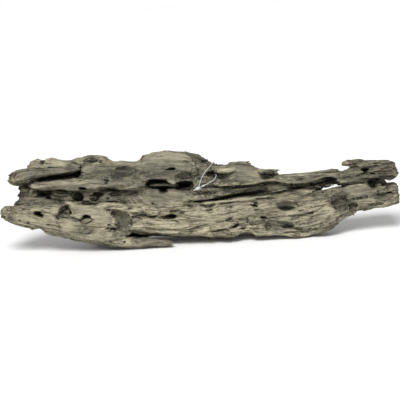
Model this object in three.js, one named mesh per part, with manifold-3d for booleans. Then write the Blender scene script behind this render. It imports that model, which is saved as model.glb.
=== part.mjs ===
// A weathered piece of driftwood as it lies on a surface: a hollowed trunk with two broken arms,
// eaten through along its grain, and the small nylon loop that is threaded through its top rim.
//
// The wood is drawn on a sheet of squares. Columns run along the grain from the left tip, rows run
// down the sheet, and depth runs back from the sheet's plane, all counted in squares. The sheet leans
// back by LEAN_DEG as the wood lies. Strands of wood are lofted along the columns and fused, then the
// hollows are cut out of them.
import * as THREE from "three";
import { ImprovedNoise } from "three/addons/math/ImprovedNoise.js";
import { mergeVertices } from "three/addons/utils/BufferGeometryUtils.js";
import Module from "manifold-3d";

const wasm = await Module();
wasm.setup();

// Driving dimensions, in millimetres and degrees
const LENGTH = 600; // from tip to tip
const LEAN_DEG = 11.8; // the drawn face leans back from upright
const SLANT_DEG = 3.5; // the drawn columns run down to the right as the wood lies
const SETTLE = 1.2; // the low points are worn flat by this much
const FILAMENT = 1.5; // diameter of the nylon loop

const MERGE = 1e-4; // points nearer than this are one

// The squared drawing
const SQUARES = 400; // along the length
const SQUARE = LENGTH / SQUARES; // millimetres
const MIDDLE_COLUMN = SQUARES / 2;
const BASE_ROW = 248; // the lowest row of the drawn face
const CLEAR = 14; // squares that a cut starts before the surface
const FLARE = 1.06; // how much wider a cut is there
const BLUNT = 0.35; // share of a level that rounds off a cut's floor
const SPLIT_END = 0.12; // half width of a split at its ends, as a share of its width

// The long ridges of grain: how many go round a section, their height, and their turn with each column
const GRAIN_RIDGES = [
  { round: 5, height: 1, turn: 0.021 },
  { round: -8, height: 0.8, turn: -0.033 },
];
const LUMPS = { height: 0.6, along: 0.06, across: 3 };

// The facets of the finished pieces
const FACETS = 11600;
const SHARE_OF_EDGES = 0.3; // the edges that one pass may close up
const MOST_PASSES = 40;
const LEAST_TURN = 0.35; // cosine between a facet before and after
const LEAST_FACET = 0.02; // square millimetres
const LOOP_SIDES = 8;
const LOOP_STEPS = 60;

const LEAN = THREE.MathUtils.degToRad(LEAN_DEG);
const SLANT = THREE.MathUtils.degToRad(SLANT_DEG);
const noise = new ImprovedNoise();

// A point of the drawing in millimetres, in the frame of the wood as it lies.
function place(column, row, depth) {
  const along = (column - MIDDLE_COLUMN) * SQUARE;
  const over = (BASE_ROW - row) * SQUARE;
  const across = along * Math.cos(SLANT) + over * Math.sin(SLANT);
  const up = over * Math.cos(SLANT) - along * Math.sin(SLANT);
  const back = depth * SQUARE;
  return new THREE.Vector3(
    across,
    back * Math.cos(LEAN) + up * Math.sin(LEAN),
    up * Math.cos(LEAN) - back * Math.sin(LEAN),
  );
}

// A closed mesh of three.js as a solid that can be joined and cut, turned face out.
function solidOf(geometry) {
  const bare = geometry.clone();
  bare.deleteAttribute("normal");
  bare.deleteAttribute("uv");
  const merged = mergeVertices(bare, MERGE);
  const vertProperties = new Float32Array(merged.attributes.position.array);
  const triVerts = new Uint32Array(merged.index.array);
  const solid = new wasm.Manifold(new wasm.Mesh({ numProp: 3, vertProperties, triVerts }));
  if (solid.volume() > 0) return solid;
  for (let i = 0; i < triVerts.length; i += 3) {
    [triVerts[i + 1], triVerts[i + 2]] = [triVerts[i + 2], triVerts[i + 1]];
  }
  return new wasm.Manifold(new wasm.Mesh({ numProp: 3, vertProperties, triVerts }));
}

function geometryOf(solid) {
  const { vertProperties, triVerts } = solid.getMesh();
  const geometry = new THREE.BufferGeometry();
  geometry.setAttribute("position", new THREE.BufferAttribute(vertProperties, 3));
  geometry.setIndex(new THREE.BufferAttribute(triVerts, 1));
  geometry.computeVertexNormals();
  return geometry;
}

// A closed skin over rings of drawing points, each ring with the same count, with a point at each end.
function skin(rings, startTip, endTip) {
  const count = rings[0].length;
  const points = [...rings.flat(), startTip, endTip].map((p) => place(...p));
  const index = [];
  for (let r = 0; r + 1 < rings.length; r++) {
    for (let k = 0; k < count; k++) {
      const here = r * count + k;
      const beside = r * count + ((k + 1) % count);
      index.push(here, beside, here + count, beside, beside + count, here + count);
    }
  }
  const start = rings.length * count;
  const last = start - count;
  for (let k = 0; k < count; k++) {
    const next = (k + 1) % count;
    index.push(start, next, k, start + 1, last + k, last + next);
  }
  const geometry = new THREE.BufferGeometry().setFromPoints(points);
  geometry.setIndex(index);
  return solidOf(geometry);
}

function centreOf(ring) {
  return [0, 1, 2].map((axis) => ring.reduce((sum, p) => sum + p[axis], 0) / ring.length);
}

// A signed power, for sections between a round and a box.
const signedPower = (x, power) => Math.sign(x) * Math.abs(x) ** power;

// A strand of wood lofted along the grain. Its stations are [column, top row, bottom row, front, back],
// lean is how far the top edge lies behind the bottom edge, and ridges is the height of the long
// ridges of grain as a share of the section.
function strand(stations, shape = {}) {
  const { sides = 16, step = 8, boxiness = 2.5, lean = 0, ridges = 0.045, tip = 0.8 } = shape;
  const columns = stations.map((s) => s[0]);
  const edges = new THREE.CubicInterpolant(columns, stations.flatMap((s) => s.slice(1)), 4);
  const rings = [];
  const seed = columns[0] + stations[0][1];
  const ringAt = (column) => {
    const [top, bottom, front, back] = edges.evaluate(column);
    const ring = [];
    for (let k = 0; k < sides; k++) {
      const turn = (2 * Math.PI * k) / sides;
      const rise = signedPower(Math.sin(turn), 2 / boxiness);
      const run = signedPower(Math.cos(turn), 2 / boxiness);
      const lump = noise.noise(column * LUMPS.along, LUMPS.across * rise + seed, LUMPS.across * run);
      const wave = GRAIN_RIDGES.reduce(
        (sum, ridge) => sum + ridge.height * Math.cos(ridge.round * turn + seed + column * ridge.turn),
        LUMPS.height * lump,
      );
      const swell = 1 + ridges * wave;
      const row = (top + bottom) / 2 - (rise * swell * (bottom - top)) / 2;
      const depth = (front + back) / 2 - (run * swell * (back - front)) / 2 + (lean * rise) / 2;
      ring.push([column, row, depth]);
    }
    return ring;
  };
  columns.slice(1).forEach((end, i) => {
    const start = columns[i];
    const parts = Math.ceil((end - start) / step);
    for (let j = 0; j < parts; j++) rings.push(ringAt(start + ((end - start) * j) / parts));
  });
  rings.push(ringAt(columns.at(-1)));
  const [first, final] = [centreOf(rings[0]), centreOf(rings.at(-1))];
  first[0] -= tip;
  final[0] += tip;
  return skin(rings, first, final);
}

// A hollow cut into the face that lies at depth mouth, down to depth floor. Its outline is a list of
// [column, row]. It narrows with depth, and rise and drift carry its floor up and along.
function pocket(outline, { mouth, floor, rise = 0, drift = 0, sharp = false, levels = 4, narrow = 2.4 }) {
  const count = Math.round(outline.length * 2);
  const corners = outline.map(([column, row]) => new THREE.Vector3(column, row, 0));
  const curve = new THREE.CatmullRomCurve3(corners, true);
  const around = sharp ? corners : curve.getPoints(count).slice(0, -1);
  const middle = centreOf(around.map((p) => [p.x, p.y, 0]));
  const out = Math.sign(floor - mouth) * CLEAR;
  const ringAt = (depth, size, share) =>
    around.map((p) => [
      middle[0] + (p.x - middle[0]) * size + drift * share,
      middle[1] + (p.y - middle[1]) * size - rise * share,
      depth,
    ]);
  const rings = [ringAt(mouth - out, FLARE, 0), ringAt(mouth, 1, 0)];
  for (let level = 1; level <= levels; level++) {
    const share = level / (levels + BLUNT);
    const size = (1 - share ** narrow) ** (1 / narrow);
    rings.push(ringAt(mouth + (floor - mouth) * share, size, share));
  }
  const end = [middle[0] + drift, middle[1] - rise, floor];
  return skin(rings, [middle[0], middle[1], mouth - out], end);
}

// An ellipsoid turned in the sheet's plane, long along the grain: a worn bowl where it is cut out.
function bowl([column, row, depth], [halfLength, halfHeight, halfDepth], tiltDeg = 0) {
  const ball = new THREE.SphereGeometry(1, 16, 10);
  const position = ball.attributes.position;
  const tilt = THREE.MathUtils.degToRad(tiltDeg);
  for (let i = 0; i < position.count; i++) {
    const along = position.getX(i) * halfLength;
    const down = -position.getY(i) * halfHeight;
    const point = place(
      column + along * Math.cos(tilt) + down * Math.sin(tilt),
      row - along * Math.sin(tilt) + down * Math.cos(tilt),
      depth + position.getZ(i) * halfDepth,
    );
    position.setXYZ(i, point.x, point.y, point.z);
  }
  return solidOf(ball);
}

// A split along the grain: a thin wedge that follows a line of [column, row], widest in its middle.
function split(line, width, { mouth, floor }) {
  const last = line.length - 1;
  const half = (i) => width * (SPLIT_END + (0.5 - SPLIT_END) * Math.sin((Math.PI * i) / last));
  const upper = line.map(([column, row], i) => [column, row - half(i)]);
  const lower = line.map(([column, row], i) => [column, row + half(i)]).reverse();
  return pocket([...upper, ...lower], { mouth, floor, sharp: true, levels: 2 });
}

// Strands of wood
const strands = [
  // the upper limb, a rounded stub on the left with lumps along its top
  strand(
    [
      [8.4, 176, 183, -10, -2],
      [10, 173, 184.6, -12, 3],
      [15, 170.3, 185.3, -14, 7],
      [20, 168.7, 184.6, -15, 9],
      [26.6, 167.8, 182.2, -15, 10],
      [28.6, 164, 181.4, -15, 11],
      [30.6, 160.4, 180.6, -15.4, 12],
      [36, 158.2, 178.6, -16, 13],
      [42, 160, 177.4, -15.4, 14],
      [47, 157.6, 176.6, -15.6, 14],
      [51, 157, 176, -15.4, 15],
      [57, 158.9, 175.4, -14.6, 16],
      [64, 160.2, 174.8, -14, 17],
      [70, 159.6, 173.6, -13, 18],
      [77, 157, 172.4, -11, 19],
      [86, 156, 170.6, -7, 20],
    ],
    { sides: 20, lean: 9, boxiness: 2.3 },
  ),
  // the upper body, from the limb to the saddle
  strand(
    [
      [78, 162, 172, -4, 14],
      [80.5, 157.6, 179, -10, 20],
      [84, 155.7, 186, -13.5, 22],
      [88, 155.1, 189, -15, 23],
      [95, 154.9, 190.4, -15.5, 25],
      [103, 155.1, 190, -16, 26],
      [107, 158, 189.8, -16, 26],
      [112, 160.8, 189.4, -16, 26],
      [117, 161.1, 190.4, -16, 27],
      [119, 160.2, 190.8, -16, 27],
      [128, 160.9, 191.8, -16, 27],
      [137, 160.6, 192, -16.5, 28],
      [141, 158, 191.6, -16.5, 28],
      [143.6, 154.4, 191.5, -17, 29],
      [150, 153.6, 192, -17, 29],
      [156, 152.7, 194, -17, 30],
      [161, 151.2, 196, -17, 30],
      [168, 151, 198, -17, 30],
      [178, 151.9, 200, -17, 30],
      [186, 151.8, 200, -17, 30],
      [190, 153.4, 200, -15.5, 29],
      [194, 154.2, 199, -13, 28.5],
      [198, 154.6, 198, -10.5, 28],
      [203, 157.3, 197, -9, 26],
      [206.6, 158, 196.6, -8.6, 25],
      [208.5, 161.6, 196.4, -8.4, 24],
      [216, 164.4, 196, -8, 23],
      [224, 168, 195.4, -7, 21],
      [234, 173, 194, -4, 18],
      [244, 180, 192, 0, 12],
    ],
    { sides: 26, lean: 10 },
  ),
  // the rail that runs left from the upper body
  strand(
    [
      [30.6, 184.6, 188, -13, -6],
      [33, 183.3, 189, -15, -3],
      [40, 182.2, 190.2, -16.5, 0],
      [50, 181, 189.7, -17, 2],
      [60, 180, 189.2, -17.5, 3],
      [68, 179.3, 190.6, -17.5, 4],
      [78, 178.4, 191.3, -17, 5],
      [90, 178, 191, -16, 6],
      [106, 178, 190, -13, 6],
    ],
    { sides: 14, lean: 3 },
  ),
  // the core behind the rail and the hollows
  strand(
    [
      [17, 186, 206, -2, 8],
      [20, 181.6, 209, -3, 12],
      [25, 178, 212, -3, 15],
      [32, 175, 214, -3, 18],
      [48, 171, 220, -3, 23],
      [72, 167, 226, -3, 27],
      [100, 168, 230, -5, 30],
      [140, 166, 232, -6, 32],
      [180, 166, 232, -6, 32],
      [215, 172, 231, -3, 31],
      [250, 176, 229, 0, 28],
      [290, 178, 226, 0, 24],
      [308, 179, 224, 1, 20],
      [318, 180, 222, 4, 18],
      [321, 187, 220, 6, 16],
    ],
    { sides: 16, step: 16, lean: 8 },
  ),
  // the lower left log and its slope up to the core
  strand(
    [
      [0.8, 208.6, 213, -13, -6],
      [3, 206.8, 217, -16, -2],
      [7, 206, 220.4, -18, 3],
      [13, 204.6, 222.8, -19, 7],
      [17, 198, 224, -19.5, 9],
      [25, 195, 226.6, -20, 13],
      [32, 194.5, 228.6, -20.5, 16],
      [40, 195, 228.3, -21, 18],
      [44, 196, 231, -21, 19],
      [48, 197, 233.5, -21.5, 20],
      [54, 198, 235.2, -22, 21],
      [61, 199, 234.8, -22, 22],
      [66, 200, 236, -22, 23],
      [70, 201, 238.4, -22, 24],
      [77, 202, 240.6, -22, 24],
      [87, 203, 242.7, -22, 25],
      [98, 204, 244.4, -21.5, 26],
      [108, 206, 245.6, -20, 26],
      [116, 208, 246.6, -17, 26],
      [128, 212, 246.6, -11, 25],
      [138, 216, 243.6, -5, 22],
      [146, 221, 239.6, 0, 18],
      [152, 226, 236, 4, 14],
    ],
    { sides: 22, lean: 20, boxiness: 2.3 },
  ),
  // the front plate, broken off ragged at its right
  strand(
    [
      [64.6, 200.8, 203, -24, -15],
      [67, 200.4, 206.4, -24.4, -13],
      [70, 201.2, 211, -24.6, -12],
      [73, 202, 219, -24.8, -10],
      [76, 202.8, 226, -25, -9],
      [80, 203.6, 231, -25, -8],
      [88, 205, 234, -25, -8],
      [99, 206.4, 234, -25, -8],
      [106, 208, 233, -24.5, -8],
      [111, 211, 231, -24, -8],
      [114, 215, 228.5, -23.5, -9],
    ],
    { sides: 18, lean: 2, boxiness: 3 },
  ),
  // the swell of the log under the plate
  strand(
    [
      [50, 222, 234, -17, -6],
      [57, 218, 235.4, -23, -6],
      [66, 215, 237, -25.4, -6],
      [76, 214, 239.6, -26, -6],
      [90, 214, 241, -25.4, -6],
      [104, 218, 242, -23, -6],
      [116, 224, 242, -17, -6],
    ],
    { sides: 18, lean: 6, boxiness: 2.2 },
  ),
  // its two broken teeth
  strand(
    [
      [108, 213, 221, -24, -14], [114, 217.4, 224, -24.5, -16], [118.6, 219.4, 222.6, -24, -18],
    ],
    { sides: 10 },
  ),
  strand(
    [
      [106, 222, 229, -24, -14], [113, 223.6, 228.6, -24, -15], [117, 226, 228, -23, -17],
    ],
    { sides: 10 },
  ),
  // the pale ridge on the lower body
  strand(
    [
      [97, 205, 208.6, -19, -8],
      [104, 203, 210, -20, -8],
      [116, 203.4, 210.6, -20, -8],
      [130, 204.8, 211.4, -20, -8],
      [144, 205.4, 214.4, -21, -8],
      [152, 206, 215.4, -21.5, -8],
      [158, 207.4, 215, -21.5, -9],
      [160.6, 209, 213.6, -20.5, -12],
    ],
    { sides: 12, boxiness: 3 },
  ),
  // the lower body and the lower right arm
  strand(
    [
      [119, 208, 231, -8, 24],
      [126, 205, 234, -11, 27],
      [133, 200, 235, -14, 29],
      [140, 195, 235.6, -16, 30],
      [150, 191, 236.4, -17, 31],
      [165, 189.6, 236.9, -18, 32],
      [180, 190, 236.6, -18.5, 32],
      [190, 193, 236.2, -19, 32],
      [200, 199, 236.4, -19, 32],
      [206, 201, 237, -19, 32],
      [211, 201.6, 238.6, -19, 32],
      [216, 201.6, 236.3, -19, 32],
      [221, 201.2, 237.6, -19.5, 31],
      [227, 200.6, 239.3, -19.5, 31],
      [234, 200, 238.6, -19.5, 31],
      [238, 199.5, 236.5, -19.5, 30],
      [241, 199.1, 233.4, -19.5, 30],
      [246, 198.6, 232.2, -19.5, 30],
      [250, 198, 232.6, -19.5, 29],
      [253, 197.6, 235.4, -19.5, 29],
      [257, 197, 237.4, -19.5, 29],
      [265, 195.4, 236.4, -19.5, 28],
      [275, 193.4, 235.2, -19.5, 27],
      [284, 191.8, 235.4, -19, 26],
      [294, 190, 237.2, -19, 25],
      [302, 188.8, 236.9, -18.5, 24],
      [311, 189.2, 235, -18.5, 22],
      [318, 190.2, 233.8, -18, 20],
      [324, 189.4, 233, -18, 18],
      [330, 188.8, 230.4, -17.5, 16],
      [336, 187.4, 226.2, -17, 15],
      [341, 186, 220.4, -17, 14],
      [348, 184, 217, -16.5, 13],
      [354, 182.8, 213.6, -16, 12],
      [358, 181.6, 211.2, -16, 12],
      [366, 181, 210.5, -15.5, 11],
      [371, 181, 209.2, -15.5, 11],
      [376, 181.4, 207.5, -15, 10],
      [383, 182, 207.8, -15, 10],
      [389, 182.8, 206.6, -14.5, 9],
      [395, 182.2, 204.8, -14, 8],
      [397.6, 184, 203, -13, 6],
      [398.8, 190, 201.6, -11, 3],
    ],
    { sides: 28, lean: 11, boxiness: 2.4, ridges: 0.035 },
  ),
  // the cheek under the large holes
  strand(
    [
      [110, 198.5, 204, -3, 8],
      [124, 195.5, 206, -9, 8],
      [137, 191.5, 208, -14, 10],
      [147, 187, 212, -18, 10],
      [160, 186, 214, -19.6, 10],
      [176, 186, 214, -20, 10],
      [190, 187, 212, -18.6, 10],
      [202, 190, 208, -14, 10],
      [214, 193, 204, -9, 8],
    ],
    { boxiness: 2.2 },
  ),
  // the knob under the rail
  strand(
    [
      [30.4, 192, 196, -6, 2], [33, 190.8, 197, -8, 3], [36.6, 191.6, 196.4, -7, 3],
      [38.4, 193, 195, -5, 2],
    ],
    { sides: 10 },
  ),
  // the upper right plate and the upper right arm
  strand(
    [
      [206, 163, 182, -6, 4],
      [213, 163, 185, -7.5, 5],
      [220, 163, 186.4, -9, 5],
      [224, 164.3, 186.4, -10, 5],
      [229, 162.2, 186.2, -11, 5],
      [238, 161.2, 185.8, -12, 5],
      [246, 161.8, 185.2, -12, 5],
      [251, 163.6, 184.8, -12, 5],
      [255, 167, 184.4, -12, 5],
      [261, 168.4, 182.2, -11.5, 5],
      [270, 169.5, 181.4, -11, 6],
      [276, 170.6, 181, -10.5, 6],
      [279, 174.6, 181.4, -10, 7],
      [287, 173.4, 183, -9.5, 8],
      [300, 172.8, 184, -9, 9],
      [314, 171.7, 184.6, -9, 9],
      [328, 170, 185, -9, 9],
      [338, 169.2, 184.6, -9.5, 9],
      [340, 171.6, 184.4, -10, 9],
      [345, 171.8, 183.8, -10, 9],
      [349, 168.8, 182.4, -10.5, 9],
      [353, 166.2, 181.4, -11, 9],
      [358, 163, 180.6, -11, 9],
      [362, 160.4, 180, -11.5, 9],
      [372, 159.6, 178.6, -12, 9],
      [382, 160, 178.8, -12, 8],
      [390, 159.8, 180.4, -11.5, 7],
      [394.6, 160.6, 178, -11, 5],
      [396.6, 167, 176, -10, 3],
      [397.8, 169.6, 174.4, -8, 0],
    ],
    { sides: 20, lean: 14, boxiness: 3, ridges: 0.03 },
  ),
  // the web that joins the two arms at the right
  strand(
    [
      [338, 181, 190, -2, 10], [350, 172, 198, -4, 11], [370, 170, 198, -3, 10],
      [386, 173, 196, -1, 8],
    ],
    { sides: 10 },
  ),
  // the prong under the left
  strand(
    [
      [88, 226, 240, -14, 6],
      [100, 227, 243.4, -19, 5],
      [112, 230, 246.4, -21, 4],
      [124, 235.4, 248, -22, 3],
      [134, 238, 248.4, -22.5, 1],
      [143, 238.6, 248, -22.5, -1],
      [150, 238.9, 246.6, -22, -4],
      [160, 239.7, 246.2, -21, -7],
      [167, 240.6, 246.4, -20.5, -9],
      [170.6, 241, 244.8, -19.5, -11],
      [172.2, 242, 243.6, -17.5, -13.5],
    ],
    { sides: 14 },
  ),
  // the ridges of the unseen back
  strand(
    [
      [52, 190, 200, 8, 24],
      [80, 184, 200, 12, 33],
      [120, 178, 197, 16, 38],
      [160, 180, 202, 16, 40],
      [200, 184, 206, 16, 39],
      [240, 190, 210, 14, 35],
      [284, 196, 210, 10, 26],
    ],
    { lean: -4, step: 12 },
  ),
  strand(
    [
      [92, 226, 238, 6, 24],
      [116, 222, 241.2, 9, 31],
      [136, 219, 241, 10, 34],
      [150, 217, 236.4, 12, 36],
      [168, 216, 235.6, 12, 37],
      [190, 214, 235, 13, 37],
      [220, 213, 232.5, 14, 37],
      [250, 212, 230, 14, 35],
      [290, 209, 226, 10, 28],
      [326, 204, 219, 6, 18],
    ],
    { lean: -6, step: 12 },
  ),
  // the block and the strips in the long groove
  strand(
    [
      [268, 184, 193.6, -7, 6], [274, 183, 194, -8, 6], [282, 183, 192.8, -7.5, 6],
      [289, 184, 190, -5, 6],
    ],
    { sides: 10 },
  ),
  strand(
    [
      [184, 197.5, 201.4, -14, 2], [196, 195.4, 199.6, -12, 4], [210, 193.6, 197.4, -10, 6],
      [224, 192, 195.6, -8, 6], [236, 191, 193.6, -5, 6],
    ],
    { sides: 10 },
  ),
  strand(
    [
      [212, 187, 193, -8, 4], [226, 186.5, 192, -7, 4], [244, 185.5, 191, -6.5, 5],
      [258, 184.5, 190, -6, 5], [268, 184, 189, -5, 6],
    ],
    { sides: 12 },
  ),
];

// Splinters, each a tapering tongue of wood
const splinters = [
  // the pale tongue over the threaded hole
  strand(
    [
      [212, 165.4, 170.4, -7, 2], [220, 166.4, 172, -9.5, -2], [230, 167.4, 172, -11.5, -6],
      [236.2, 167.4, 170.6, -12.5, -9.5],
    ],
    { sides: 10 },
  ),
  // spikes along the top edge
  strand(
    [
      [238, 161.4, 166, -4, 6], [246, 161, 164.4, -2, 6], [250.4, 160.2, 161.4, 0, 4],
    ],
    { sides: 10 },
  ),
  strand(
    [
      [266, 169.2, 174, -4, 8], [274, 168.8, 172.4, -2, 8], [280, 168.8, 170, 1, 5],
    ],
    { sides: 10 },
  ),
  strand(
    [
      [318, 171, 175.4, -4, 8], [330, 169.6, 173.4, -3, 8], [338.4, 168.8, 170.6, 0, 5],
    ],
    { sides: 10 },
  ),
  // the strip that points left from the upper right arm
  strand(
    [
      [342.2, 163, 165, -5, -1], [345, 160.4, 165.7, -7, 3], [352, 159.4, 165.6, -8, 5],
      [360, 159.4, 166.6, -8, 7], [372, 160.4, 168, -6, 8],
    ],
    { sides: 10 },
  ),
];

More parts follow.
